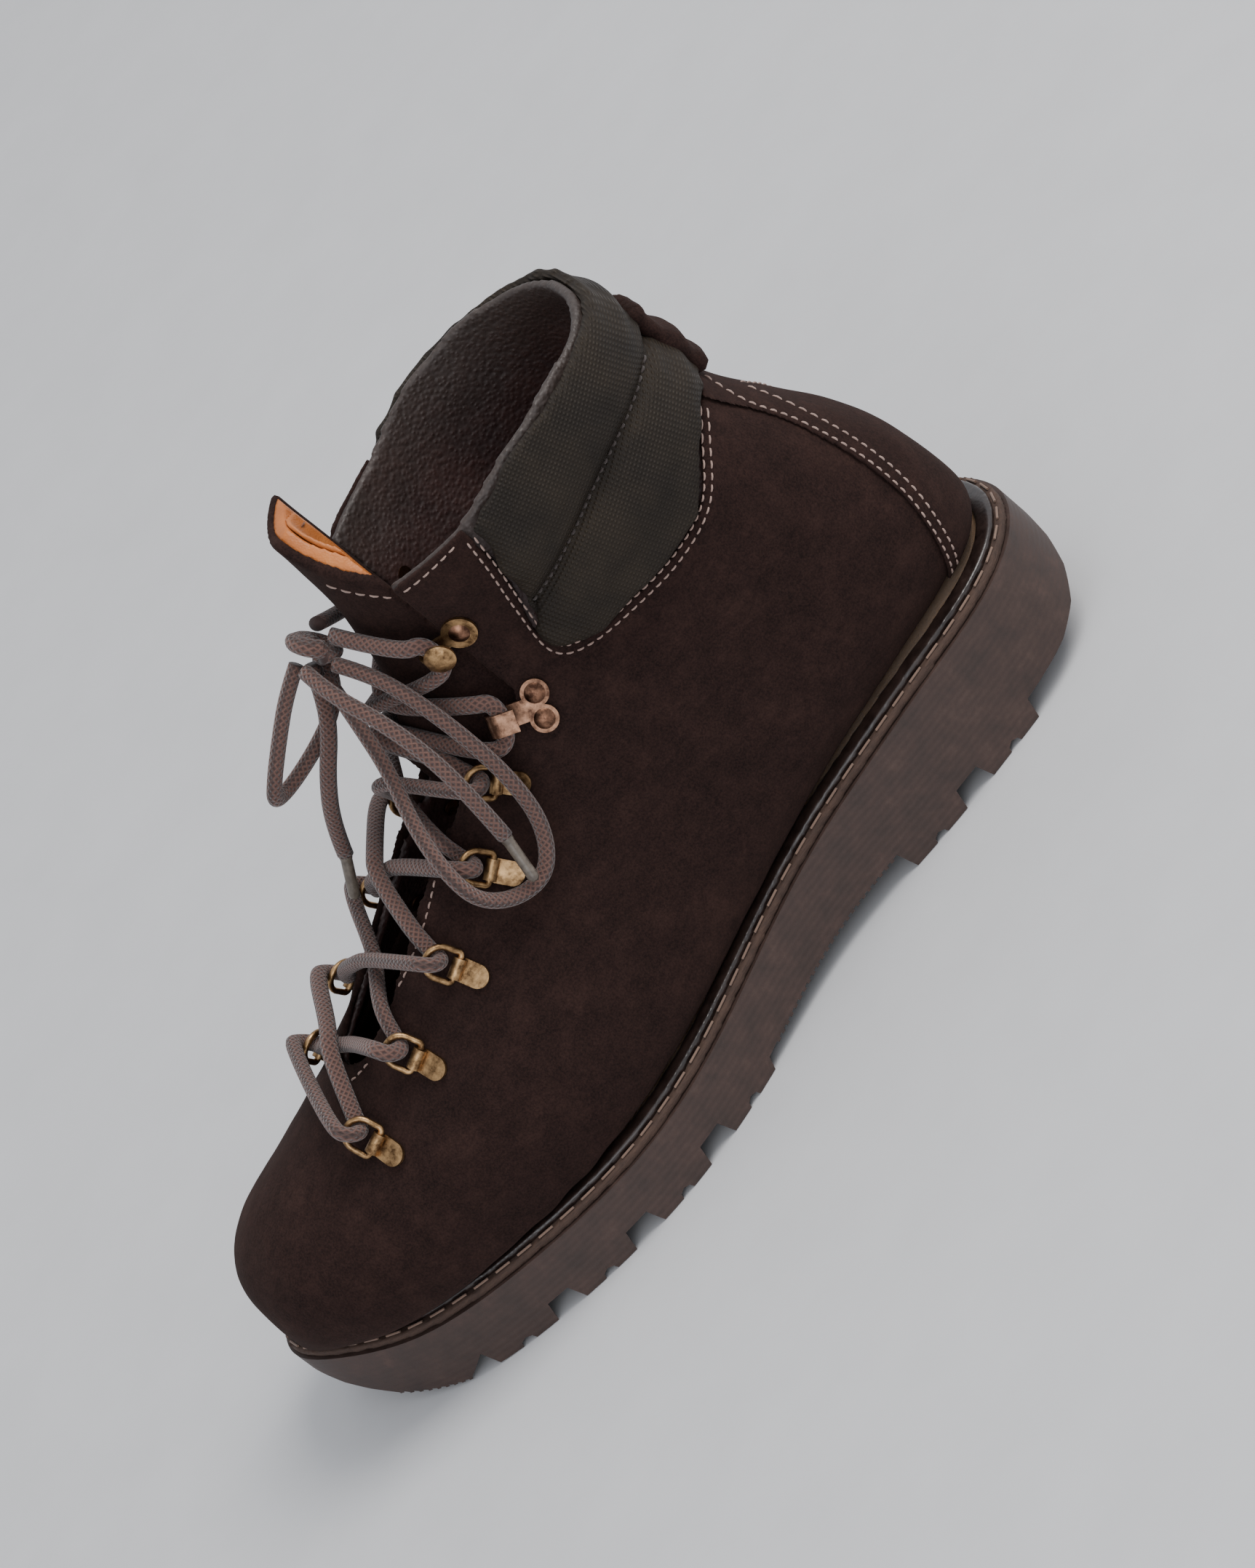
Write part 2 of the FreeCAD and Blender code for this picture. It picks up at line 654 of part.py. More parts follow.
def soft_parts():
    """Every piece of the upper, before the rivet holes."""
    opening = throat_prism(0.0)
    trimmed = rim_cut()
    collar = collar_zone()
    suede = shell(0.0, SUEDE).cut(trimmed).cut(opening).cut(collar)
    suede = suede.cut(outline_prism(MARGIN, -5.0, 60.0))
    save("upper", suede)
    save("backstay", shell(-PATCH, 0.0).common(zone_behind(BACKSTAY_EDGE)).cut(collar)
         .cut(bead_level()))
    save("collar_cover", shell(-COLLAR_OUT, COVER - COLLAR_OUT).common(collar).cut(trimmed))
    save("collar_foam", shell(COVER - COLLAR_OUT, SUEDE).common(collar).cut(trimmed))
    tab_zone = strip(TAB_HALF).common(side_polygon([(70, TAB_SPAN[0]), (-20, TAB_SPAN[0]),
                                                    (-20, TAB_SPAN[1]), (70, TAB_SPAN[1])]))
    save("back_tab", shell(-COLLAR_OUT - PATCH, -COLLAR_OUT).common(tab_zone).common(collar))
    counter = shell(SUEDE, SUEDE + STIFFENER).common(counter_zone())
    puff = shell(SUEDE, SUEDE + STIFFENER).common(puff_zone())
    inner = shell(SUEDE, LINING_IN).cut(trimmed).cut(opening)
    under = outline_prism(MARGIN, -5.0, 60.0)
    save("heel_counter", counter.cut(under))
    save("toe_puff", puff.cut(under))
    save("lining", inner.cut(counter).cut(puff).cut(under))


def front_prism(line):
    """Everything under a front-view line of (x, height)."""
    corners = [(line[-1][0], 0), (line[0][0], 0)]
    points = [V(x, -LENGTH, z) for x, z in line + corners]
    return Part.Face(Part.makePolygon(points + points[:1])).extrude(V(0, 2 * LENGTH, 0))


def tongue_parts():
    start = LINING_IN + TONGUE_GAP
    depths = [start, start + TONGUE_SUEDE, start + TONGUE_SUEDE + TONGUE_FOAM]
    depths.append(depths[-1] + TONGUE_LEATHER)
    depths.append(depths[-1] + TONGUE_LEATHER)
    zone = throat_prism(TONGUE_LAP).common(below_edge(TONGUE_TOP))
    zone = zone.cut(side_polygon([(TONGUE_BACK, 0), (-20, 0), (-20, 260), (TONGUE_BACK, 260)]))
    zone = zone.common(front_prism(TONGUE_SLOPE))
    names = ("tongue", "tongue_foam", "tongue_lining")
    for name, outer, inner in zip(names, depths, depths[1:]):
        save(name, shell(outer, inner).common(zone))
    patch_curve = spline([at(b, 0, z) for b, z in PATCH_EDGE]).toShape()
    close = Part.makeLine(patch_curve.valueAt(patch_curve.LastParameter),
                          patch_curve.valueAt(patch_curve.FirstParameter))
    patch_zone = side_prism([patch_curve, close])
    save("tongue_patch", shell(depths[3], depths[4]).common(zone).common(patch_zone))
    wide = throat_prism(TONGUE_LAP + GUSSET_WIDTH).cut(throat_prism(TONGUE_LAP))
    wide = wide.common(side_polygon([(128, 60), (260, 60), (260, 150), (128, 150)]))
    flap = shell(depths[0], depths[1]).common(wide)
    for name, x in (("gusset_lateral", 0), ("gusset_medial", -90)):
        half = Part.makeBox(90, 2 * LENGTH, 300, V(x, -LENGTH, 0))
        save(name, flap.common(half))


def sole_parts():
    """Welt, bead, filler, shank, board and footbed, between the rubber and the foot."""
    foot = last(0.0)
    welt_top = WELT_THICK
    save("welt", layer(0.0, welt_top, WELT_INSET).cut(outline_prism(WELT_INNER)).cut(foot))
    bead = layer(welt_top, welt_top + BEAD_THICK, BEAD_INSET)
    save("rand_bead", bead.cut(outline_prism(WELT_INNER)).cut(last(-0.05)))
    board_low = BOARD_LEVEL
    board_high = board_low + BOARD_THICK
    board = last(LINING_IN).common(layer(board_low - 1.5, board_high, -30))
    save("insole_board", board)
    save("footbed", last(LINING_IN + 0.3).common(
        layer(board_high, board_high + FOOTBED_THICK, -30)))
    filler = layer(0.0, welt_top - 0.1, WELT_INNER + 0.2)
    filler = filler.fuse(layer(welt_top - 0.3, board_low - 1.9, MARGIN + 0.6))
    shank = layer(3.0, 3.0 + SHANK[2], 0).common(
        Part.makeBox(SHANK[1], SHANK[0], 90, at(SHANK_FRONT, SHANK_X, 0)))
    save("shank", shank)
    save("filler", filler.cut(shank))
    save("welt_stitches", welt_stitches())


def welt_stitches():
    """Row of lockstitches lying on the welt's ledge."""
    line = outline_wire(STITCH_INSET).Edges[0]
    count = int(line.Length // STITCH_PITCH)
    stitches = []
    for k in range(count):
        start = line.valueAt(line.getParameterByLength(line.Length * k / count))
        end = line.valueAt(line.getParameterByLength(line.Length * k / count + STITCH_LENGTH))
        for point in (start, end):
            back = LENGTH / 2 - point.y
            point.z = smooth(RUBBER_TOP, back) + WELT_THICK + STITCH_R + 0.15
        run = end - start
        stitches.append(Part.makeCylinder(STITCH_R, run.Length, start, run))
    return Part.Compound(stitches)


def hardware():
    """Clips, rings, hooks and rivets on both facings, and the holes for the rivets."""
    clip_rivets = []
    hook_rivets = []
    holes = []
    dents = []
    for side_name in ("lateral", "medial"):
        places = seats(side_name)
        for k, seat in enumerate(places[:5], start=1):
            save("ring_clip_%s_%d" % (side_name, k), seat.place(ring_clip()))
            save("d_ring_%s_%d" % (side_name, k), seat.place(d_ring()))
            clip_rivets.append(seat.place(rivet(0, CLIP_RIVET, False)))
            holes.append(seat.place(rivet_hole(0, CLIP_RIVET)))
            dents.append(seat.place(washer_room(0, CLIP_RIVET)))
            axis = seat.spot(0, 0, ROLL_R + LIFT)
            print("HINGE", side_name, k, tuple(round(c, 3) for c in axis),
                  tuple(round(c, 5) for c in seat.u), tuple(round(c, 5) for c in seat.w),
                  tuple(round(c, 5) for c in seat.n))
        for kind, seat in (("lower", places[5]), ("upper", places[6])):
            shape = hook_lower() if kind == "lower" else hook_upper()
            save("hook_%s_%s" % (kind, side_name), seat.place(shape))
            spots = [(0, UPPER_RIVET)]
            if kind == "lower":
                spots = [(-RIVET_SPACING / 2, HOOK_RIVET), (RIVET_SPACING / 2, HOOK_RIVET)]
            for x, y in spots:
                hook_rivets.append(seat.place(rivet(x, y, True)))
                holes.append(seat.place(rivet_hole(x, y)))
                dents.append(seat.place(washer_room(x, y)))
            print("HOOK", side_name, kind, tuple(round(c, 3) for c in seat.point),
                  tuple(round(c, 5) for c in seat.u), tuple(round(c, 5) for c in seat.w),
                  tuple(round(c, 5) for c in seat.n))
    save("clip_rivets", Part.Compound(clip_rivets))
    save("hook_rivets", Part.Compound(hook_rivets))
    for name in ("upper", "lining"):
        shape = PARTS[name]
        for hole in holes:
            shape = shape.cut(hole)
        save(name, shape)
    for name in ("lining", "gusset_lateral", "gusset_medial", "tongue", "tongue_foam"):
        shape = PARTS[name]
        for dent in dents:
            if shape.common(dent).Volume > 0.001:
                shape = shape.cut(dent)
        save(name, shape)


# ---------------------------------------------------------------- lace
# One braided lace. The laced run goes from the knot down one zigzag, across the bar
# between the first two rings, and up the other zigzag back to the knot.
KNOT = V(2, 3, 167)
KNOT_R = 7.4
AGLET_R = 1.7
LACED = [
    # knot, lateral side
    (7.5, 8, 168),
    # lateral upper hook
    (23, 16, 156), (26, 22, 154.5), (25.5, 21.5, 144), (22.5, 15, 143),
    # crossing 6
    (5.5, -0.5, 144.5), (-1, -2, 140.5),
    # medial lower hook
    (-23.5, 17, 131.5), (-26, 22.5, 128), (-26, 16, 117), (-24, 10.6, 120.8),
    # crossing 5
    (-0.5, -4.5, 137), (6.5, -6, 135.5),
    # lateral ring 5
    (20.5, 1, 124.5), (24, 2, 119), (28.5, 3.5, 116), (33, 0.5, 117), (32, -3, 120.5),
    # crossing 4
    (7, -13.5, 127), (1, -16.5, 125.5),
    # medial ring 4
    (-14.5, -15, 113), (-18, -15, 107.5), (-22.5, -13.5, 104.5), (-27, -16.5, 106.5), (-26, -19.5, 110),
    # crossing 3
    (1, -31, 113.5), (7, -35, 112.5),
    # lateral ring 3
    (21.5, -40, 102), (27.5, -41.5, 95), (32.5, -41.5, 93), (36, -44, 96), (34, -46.5, 99.5),
    # crossing 2
    (6.5, -55, 98), (0, -58, 96.5),
    # medial ring 2
    (-13, -62, 91), (-17.5, -63, 86), (-23, -63, 85), (-26, -66, 88.5), (-23, -68, 92),
    # crossing 1
    (0, -76.5, 90), (5.5, -81, 89),
    # lateral ring 1
    (19.5, -91, 75.5), (25, -92, 75), (27.5, -95, 79), (24, -96.5, 82),
    # medial ring 1
    (-18.5, -87.5, 86.5), (-22, -86, 83.5), (-20.5, -83, 79.5), (-14.5, -82.5, 79.5), (-9, -81, 83.5),
    # crossing 1
    (-0.5, -78.5, 84), (6, -75.5, 84.5),
    # lateral ring 2
    (28.5, -72, 90.5), (31.5, -70.5, 87), (29, -67, 83.5), (23.5, -66, 84.5), (18, -63, 90.5),
    # crossing 2
    (6.5, -57, 92), (0.5, -53, 93),
    # medial ring 3
    (-26, -43.5, 100), (-27.5, -41, 96.5), (-23.5, -38.5, 93.5), (-18.5, -39, 95.5), (-14.5, -38.5, 101.5),
    # crossing 3
    (1, -33, 107.5), (7.5, -30, 109.5),
    # lateral ring 4
    (35, -20, 108.5), (35.5, -17, 104.5), (31, -15.5, 102.5), (26.5, -16.5, 105.2), (23, -17, 112),
    # crossing 4
    (7, -14.5, 121), (1, -11, 123),
    # medial ring 5
    (-25, -2.7, 123.2), (-26, 0.3, 119.7), (-21.5, 3.3, 118.2), (-17.5, 2.3, 121.7),
    # crossing 5
    (-0.5, -2.5, 132), (6.5, -1, 133.5),
    # lateral lower hook
    (29.5, 9.5, 120), (31.5, 16, 118), (29.5, 22, 128.5), (27.5, 16.5, 132.5),
    # crossing 6
    (5, 3, 139), (-1, 4, 143),
    # medial upper hook
    (-19, 16, 143), (-22.5, 22, 144), (-23.5, 22.5, 154.5), (-20, 16.5, 156),
    # knot, medial side
    (-3, 8, 168.5),
]
NEAR_LOOP = [
    (8.5, 2.5, 162.5), (14.5, 6, 156.5), (22.5, 8.5, 147.5), (31.5, 9.5, 131), (36.5, 8.5, 113.5),
    (38, 4.5, 98), (39.5, -4.5, 88.5), (39, -15, 90), (41, -22.5, 99.5), (40, -22.5, 111),
    (31, -18.5, 123), (19, -10.5, 135), (11.5, -6, 147), (6, -3, 155.5), (3.5, -1.5, 160.5),
]
NEAR_END = [
    (6.5, -4, 167), (15, -4.5, 161.5), (25, -1.5, 149), (33.5, -0.5, 135), (38.5, -2, 120.5),
    (39.5, -4.5, 105.5),
]
NEAR_AGLET = [(39.5, -4.5, 105.5), (43.5, -8.5, 92)]
FAR_LOOP = [
    (1, -4, 167.5), (0.5, -12, 164), (0.5, -23, 157), (0, -32, 150.5), (-2.5, -36.5, 145.5),
    (-7, -34.5, 142), (-8.5, -27, 141.5), (-8.5, -17, 143), (-8, -7.5, 146), (-6.5, 0, 153.5),
    (-5, 4, 163.5),
]
FAR_END = [
    (-2, -1.5, 162.5), (-2, -5.5, 155), (-1.5, -12, 146.5), (-5, -23.5, 135.5), (-10, -32, 123.5),
    (-13.5, -36.5, 113),
]
FAR_AGLET = [(-13.5, -36.5, 113), (-14.5, -44.5, 101.5)]


def cord_tube(name, points, radius):
    """Tube along straight runs joined by tangent arcs, each as large as its runs allow."""
    corners = [V(*p) for p in points]
    edges = []
    here = corners[0]
    length = 0.0
    radii = []
    for before, corner, after in zip(corners, corners[1:], corners[2:]):
        into = corner - before
        out = after - corner
        short = min(into.Length, out.Length)
        turn = into.getAngle(out)
        into.normalize()
        out.normalize()
        cut = 0.45 * short
        arc_r = cut / math.tan(turn / 2)
        start = corner - into * cut
        end = corner + out * cut
        bisect = (out - into)
        bisect.normalize()
        depth = arc_r / math.cos(turn / 2) - arc_r
        edges.append(Part.makeLine(here, start))
        edges.append(Part.Arc(start, corner + bisect * depth, end).toShape())
        length += (start - here).Length + arc_r * turn
        radii.append(arc_r)
        here = end
    edges.append(Part.makeLine(here, corners[-1]))
    length += (corners[-1] - here).Length
    path = Part.Wire(edges)
    run = corners[1] - corners[0]
    circle = Part.Wire(Part.makeCircle(radius, corners[0], run))
    tube = path.makePipeShell([circle], True, False)
    print("CORD", name, "length", round(length), "volume", round(tube.Volume),
          "of", round(length * math.pi * radius ** 2),
          "radii", [round(r, 1) for r in radii])
    return tube


def lace_parts():
    """Lace in five tubes, its knot and its two tips."""
    routes = (("lace_laced", LACED), ("lace_loop_near", NEAR_LOOP), ("lace_end_near", NEAR_END),
              ("lace_loop_far", FAR_LOOP), ("lace_end_far", FAR_END))
    knot = Part.makeSphere(KNOT_R, KNOT)
    for name, points in routes:
        tube = cord_tube(name, points, LACE_R)
        knot = knot.cut(tube)
        save(name, tube)
    save("lace_knot", knot)
    tips = (("aglet_near", "lace_end_near", NEAR_AGLET), ("aglet_far", "lace_end_far", FAR_AGLET))
    for name, tube_name, (start, end) in tips:
        run = V(*end) - V(*start)
        tip = Part.makeCylinder(AGLET_R, run.Length, V(*start), run)
        save(name, tip.cut(PARTS[tube_name]))


def report(names):
    for name in names:
        shape = PARTS[name]
        print(name, shape.isValid(), len(shape.Solids), round(shape.Volume))


os.makedirs("parts", exist_ok=True)
save("outsole", make_outsole())
soft_parts()
tongue_parts()
sole_parts()
hardware()
lace_parts()
report(PARTS)
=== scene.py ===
import bpy, bmesh, math
from mathutils import Matrix, Vector, noise
from mathutils.bvhtree import BVHTree


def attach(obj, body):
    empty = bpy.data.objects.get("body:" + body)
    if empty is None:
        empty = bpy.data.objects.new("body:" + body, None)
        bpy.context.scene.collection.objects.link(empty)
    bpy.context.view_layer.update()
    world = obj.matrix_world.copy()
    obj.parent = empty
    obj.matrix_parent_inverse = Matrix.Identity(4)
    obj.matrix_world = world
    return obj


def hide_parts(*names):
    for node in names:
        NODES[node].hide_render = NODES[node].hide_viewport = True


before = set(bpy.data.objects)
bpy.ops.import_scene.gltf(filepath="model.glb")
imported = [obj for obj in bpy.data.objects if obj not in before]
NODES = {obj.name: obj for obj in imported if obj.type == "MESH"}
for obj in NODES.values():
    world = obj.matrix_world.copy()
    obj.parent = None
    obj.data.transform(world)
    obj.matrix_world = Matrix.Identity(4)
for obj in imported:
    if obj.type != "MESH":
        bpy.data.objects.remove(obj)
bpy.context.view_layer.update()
MM = 0.001
LENGTH = 0.311                        # heel to toe, on the floor


def at(back, x, z):
    """A place on the boot from its distance to the heel, its side and its height, in millimetres."""
    return Vector((x * MM, LENGTH / 2 - back * MM, z * MM))


# ---------------------------------------------------------------- camera
ELEVATION = math.radians(28)
ROLL = math.radians(51)
LOOK_AT = Vector((0.0, 0.0271, 0.0657))
DISTANCE = 2.0
LENS = 166.5


def add_camera():
    """A long lens from the outer side, rolled as the leaning boot is seen."""
    back = Vector((math.cos(ELEVATION), 0, math.sin(ELEVATION)))
    level_right = Vector((0, 1, 0))
    level_up = back.cross(level_right)
    right = math.cos(ROLL) * level_right - math.sin(ROLL) * level_up
    up = math.sin(ROLL) * level_right + math.cos(ROLL) * level_up
    data = bpy.data.cameras.new("camera")
    data.sensor_fit = "VERTICAL"
    data.sensor_height = 36.0
    data.lens = LENS
    data.clip_end = 20.0
    camera = bpy.data.objects.new("camera", data)
    camera.matrix_world = Matrix((right, up, back)).transposed().to_4x4()
    camera.location = LOOK_AT + DISTANCE * back
    bpy.context.scene.collection.objects.link(camera)
    bpy.context.scene.camera = camera


def add_light(name, place, size, power, colour):
    data = bpy.data.lights.new(name, "AREA")
    data.size = size
    data.energy = power
    data.color = colour
    lamp = bpy.data.objects.new(name, data)
    lamp.location = place
    lamp.rotation_euler = (LOOK_AT - Vector(place)).to_track_quat("-Z", "Y").to_euler()
    bpy.context.scene.collection.objects.link(lamp)


def add_surroundings():
    """Pale floor, soft sky and two large lamps."""
    bpy.ops.mesh.primitive_plane_add(size=12, location=(0, 0, -0.0002))
    floor = bpy.context.object
    floor.name = "floor"
    floor.data.materials.append(plain("floor_paint", (0.80, 0.80, 0.81), 0.9))
    world = bpy.data.worlds.new("sky")
    bpy.context.scene.world = world
    world.use_nodes = True
    world.node_tree.nodes["Background"].inputs["Color"].default_value = (0.92, 0.95, 1.0, 1)
    world.node_tree.nodes["Background"].inputs["Strength"].default_value = 0.8
    add_light("key", (0.35, 1.3, 1.9), 1.3, 46, (1.0, 0.98, 0.95))
    add_light("fill", (1.9, -0.7, 0.9), 1.6, 16, (0.93, 0.96, 1.0))


# ---------------------------------------------------------------- materials
def linear(colour):
    """Linear values of a colour given as 0-255 display values."""
    return tuple(((c / 255 + 0.055) / 1.055) ** 2.4 if c > 10 else c / 3294.6 for c in colour) + (1.0,)


class Paint:
    """One procedural material, built up from small node steps."""

    def __init__(self, name, roughness=0.5, metallic=0.0, sheen=0.0, coat=0.0):
        self.material = bpy.data.materials.new(name)
        self.material.use_nodes = True
        self.tree = self.material.node_tree
        self.shader = self.tree.nodes["Principled BSDF"]
        self.shader.inputs["Roughness"].default_value = roughness
        self.shader.inputs["Metallic"].default_value = metallic
        self.shader.inputs["Sheen Weight"].default_value = sheen
        self.shader.inputs["Coat Weight"].default_value = coat
        self.place = self.tree.nodes.new("ShaderNodeTexCoord").outputs["Object"]

    def link(self, source, target):
        self.tree.links.new(source, target)

    def noise(self, scale, detail=4.0, stretch=(1, 1, 1), rough=0.6):
        """Noise whose features are 1/scale metres apart."""
        node = self.tree.nodes.new("ShaderNodeTexNoise")
        node.inputs["Scale"].default_value = scale
        node.inputs["Detail"].default_value = detail
        node.inputs["Roughness"].default_value = rough
        self.link(self.stretched(stretch), node.inputs["Vector"])
        return node.outputs["Fac"]

    def stretched(self, stretch, turn=(0, 0, 0)):
        node = self.tree.nodes.new("ShaderNodeMapping")
        node.inputs["Scale"].default_value = stretch
        node.inputs["Rotation"].default_value = turn
        self.link(self.place, node.inputs["Vector"])
        return node.outputs["Vector"]

    def cells(self, scale, feature="F1"):
        node = self.tree.nodes.new("ShaderNodeTexVoronoi")
        node.feature = feature
        node.inputs["Scale"].default_value = scale
        self.link(self.place, node.inputs["Vector"])
        return node.outputs["Distance"]

    def lines(self, pitch, turn=(0, 0, 0), wobble=0.0, direction="Z"):
        """Sine lines, one for each pitch in metres."""
        node = self.tree.nodes.new("ShaderNodeTexWave")
        node.bands_direction = direction
        node.inputs["Scale"].default_value = math.pi / (10 * pitch)
        node.inputs["Distortion"].default_value = wobble
        node.inputs["Detail"].default_value = 1.0
        self.link(self.stretched((1, 1, 1), turn), node.inputs["Vector"])
        return node.outputs["Fac"]

    def maths(self, kind, first, second=0.0, third=0.0):
        node = self.tree.nodes.new("ShaderNodeMath")
        node.operation = kind
        for slot, value in zip(node.inputs, (first, second, third)):
            if isinstance(value, (int, float)):
                slot.default_value = value
            else:
                self.link(value, slot)
        return node.outputs[0]

    def ramp(self, source, *stops):
        """Colours in display values at places along a 0-1 source."""
        node = self.tree.nodes.new("ShaderNodeValToRGB")
        ramp = node.color_ramp
        while len(ramp.elements) < len(stops):
            ramp.elements.new(0.5)
        for element, (position, colour) in zip(ramp.elements, stops):
            element.position = position
            element.color = linear(colour)
        self.link(source, node.inputs["Fac"])
        return node.outputs["Color"]

    def mix(self, share, first, second):
        node = self.tree.nodes.new("ShaderNodeMix")
        node.data_type = "RGBA"
        slots = (node.inputs["Factor"], node.inputs[6], node.inputs[7])
        for slot, value in zip(slots, (share, first, second)):
            if isinstance(value, tuple):
                slot.default_value = linear(value)
            elif isinstance(value, (int, float)):
                slot.default_value = value
            else:
                self.link(value, slot)
        return node.outputs[2]

    def colour(self, source):
        self.link(source, self.shader.inputs["Base Color"])

    def roughness(self, source, low, high):
        node = self.tree.nodes.new("ShaderNodeMapRange")
        node.inputs["To Min"].default_value = low
        node.inputs["To Max"].default_value = high
        self.link(source, node.inputs["Value"])
        self.link(node.outputs["Result"], self.shader.inputs["Roughness"])

    def bump(self, *layers):
        """Bumps as (source, depth in metres, strength), laid over each other."""
        below = None
        for source, depth, strength in layers:
            node = self.tree.nodes.new("ShaderNodeBump")
            node.inputs["Distance"].default_value = depth
            node.inputs["Strength"].default_value = strength
            self.link(source, node.inputs["Height"])
            if below is not None:
                self.link(below, node.inputs["Normal"])
            below = node.outputs["Normal"]
        self.link(below, self.shader.inputs["Normal"])

    def value(self, socket, number):
        self.shader.inputs[socket].default_value = number


def plain(name, colour, roughness):
    """A nearly even matt paint with a faint grain."""
    paint = Paint(name, roughness)
    grain = paint.noise(30)
    shade = tuple(int(255 * c) for c in colour)
    darker = tuple(int(250 * c) for c in colour)
    paint.colour(paint.ramp(grain, (0.3, darker), (0.7, shade)))
    return paint.material


def suede():
    """Dark chocolate suede: mottled nap, no gloss."""
    paint = Paint("suede", 0.95, sheen=0.05)
    patches = paint.noise(95, 5, rough=0.7)
    nap = paint.noise(1500, 6, rough=0.75)
    strokes = paint.noise(420, 3, (1.0, 0.35, 1.0), 0.6)
    base = paint.ramp(patches, (0.38, (21, 13, 12)), (0.52, (34, 22, 20)), (0.66, (50, 34, 30)))
    dusted = paint.ramp(nap, (0.38, (14, 8, 8)), (0.62, (64, 44, 39)))
    brushed = paint.ramp(strokes, (0.35, (20, 12, 12)), (0.65, (46, 31, 28)))
    paint.colour(paint.mix(0.35, paint.mix(0.35, base, brushed), dusted))
    paint.bump((nap, 0.0004, 0.55), (strokes, 0.0006, 0.3), (paint.noise(160, 3), 0.0006, 0.2))
    paint.value("Sheen Roughness", 0.6)
    paint.value("Sheen Tint", linear((190, 150, 135)))
    paint.value("Specular IOR Level", 0.12)
    return paint.material


HATCH_PITCH = (0.0013, 0.0011)
HATCH_TURN = math.radians(72)


def collar_leather():
    """Soft grey-brown leather with a fine embossed cross hatch."""
    paint = Paint("collar_leather", 0.55)
    first = paint.lines(HATCH_PITCH[0], (HATCH_TURN, 0, 0), 0.5)
    second = paint.lines(HATCH_PITCH[1], (HATCH_TURN - math.pi / 2, 0, 0), 0.5)
    hatch = paint.maths("MULTIPLY", first, second)
    grain = paint.cells(1100)
    tone = paint.noise(60, 4)
    base = paint.ramp(tone, (0.35, (34, 27, 20)), (0.65, (50, 41, 31)))
    # Painted shade: where the hatch is low, in its embossed grooves, the colour is darkened halfway
    # towards near-black brown (20, 16, 14).
    paint.colour(paint.mix(hatch, paint.mix(0.5, base, (20, 16, 14)), base))
    paint.roughness(hatch, 0.7, 0.48)
    paint.bump((hatch, 0.0004, 0.9), (grain, 0.0002, 0.3), (tone, 0.0012, 0.3))
    paint.value("Specular IOR Level", 0.22)
    return paint.material


def lining_leather():
    """Pebbled dark brown lining leather."""
    paint = Paint("lining_leather", 0.5)
    pebbles = paint.cells(820, "SMOOTH_F1")
    tone = paint.noise(70, 4)
    deep = paint.ramp(tone, (0.35, (42, 26, 25)), (0.65, (60, 39, 36)))
    height = paint.tree.nodes.new("ShaderNodeSeparateXYZ")
    paint.link(paint.place, height.inputs["Vector"])
    rise = paint.maths("MULTIPLY_ADD", height.outputs["Z"], 28.0, -4.2)
    near_rim = paint.maths("SMOOTH_MAX", 0.0, rise, 0.2)
    base = paint.mix(paint.maths("MINIMUM", near_rim, 1.0), deep, (62, 54, 49))
    # Painted shade: the colour is darkened towards (25, 16, 15) as the pebble distance grows, most in the
    # low valleys between the pebbles.
    paint.colour(paint.mix(paint.maths("MULTIPLY", pebbles, 0.45), base, (25, 16, 15)))
    paint.roughness(pebbles, 0.42, 0.68)
    paint.bump((paint.maths("SUBTRACT", 1.0, pebbles), 0.0005, 0.7), (paint.noise(1500, 3), 0.0002, 0.3),
               (tone, 0.002, 0.3))
    return paint.material


def tan_leather():
    """Smooth cognac leather of the tongue's back."""
    paint = Paint("tan_leather", 0.45)
    tone = paint.noise(55, 5)
    pores = paint.cells(1500)
    paint.colour(paint.ramp(tone, (0.3, (158, 88, 38)), (0.55, (188, 110, 51)), (0.75, (205, 130, 68))))
    paint.roughness(tone, 0.38, 0.6)
    paint.bump((pores, 0.00025, 0.35), (paint.noise(300, 4), 0.0005, 0.3))
    return paint.material


def sole_rubber():
    """Matt brown moulded rubber, dusty, with faint mould lines along the side."""
    paint = Paint("sole_rubber", 0.6)
    dust = paint.noise(140, 6, rough=0.7)
    speck = paint.noise(1400, 3)
    moulding = paint.lines(0.0021, wobble=0.6)
    base = paint.ramp(dust, (0.32, (50, 36, 31)), (0.56, (64, 47, 41)), (0.76, (80, 60, 53)))
    paint.colour(paint.mix(paint.maths("MULTIPLY", speck, 0.35), base, (44, 31, 27)))
    paint.roughness(dust, 0.45, 0.75)
    paint.bump((moulding, 0.0003, 0.22), (speck, 0.0002, 0.3), (dust, 0.0005, 0.25))
    return paint.material


def bead_gloss():
    """Dark glossy piping between the suede and the welt."""
    paint = Paint("bead_gloss", 0.28, coat=0.35)
    tone = paint.noise(220, 4)
    paint.colour(paint.ramp(tone, (0.35, (26, 18, 16)), (0.7, (46, 34, 30))))
    paint.roughness(tone, 0.2, 0.45)
    paint.bump((paint.noise(420, 4), 0.0004, 0.35))
    paint.value("Coat Roughness", 0.2)
    return paint.material


def welt_leather():
    """Rough brown welt strip with fibres."""
    paint = Paint("welt_leather", 0.8)
    fibre = paint.noise(900, 5, (1, 0.4, 2.5), 0.7)
    tone = paint.noise(180, 4)
    paint.colour(paint.mix(0.5, paint.ramp(fibre, (0.3, (44, 30, 24)), (0.7, (84, 62, 50))),
                           paint.ramp(tone, (0.35, (54, 38, 31)), (0.7, (78, 57, 46)))))
    paint.bump((fibre, 0.0006, 0.7), (tone, 0.0006, 0.4))
    return paint.material


def thread(name, colour, dirt):
    """Twisted sewing thread."""
    paint = Paint(name, 0.7, sheen=0.2)
    twist = paint.noise(1600, 3)
    tone = paint.noise(110, 3)
    paint.colour(paint.mix(paint.maths("MULTIPLY", tone, 0.7), colour, dirt))
    paint.bump((twist, 0.0002, 0.6))
    return paint.material


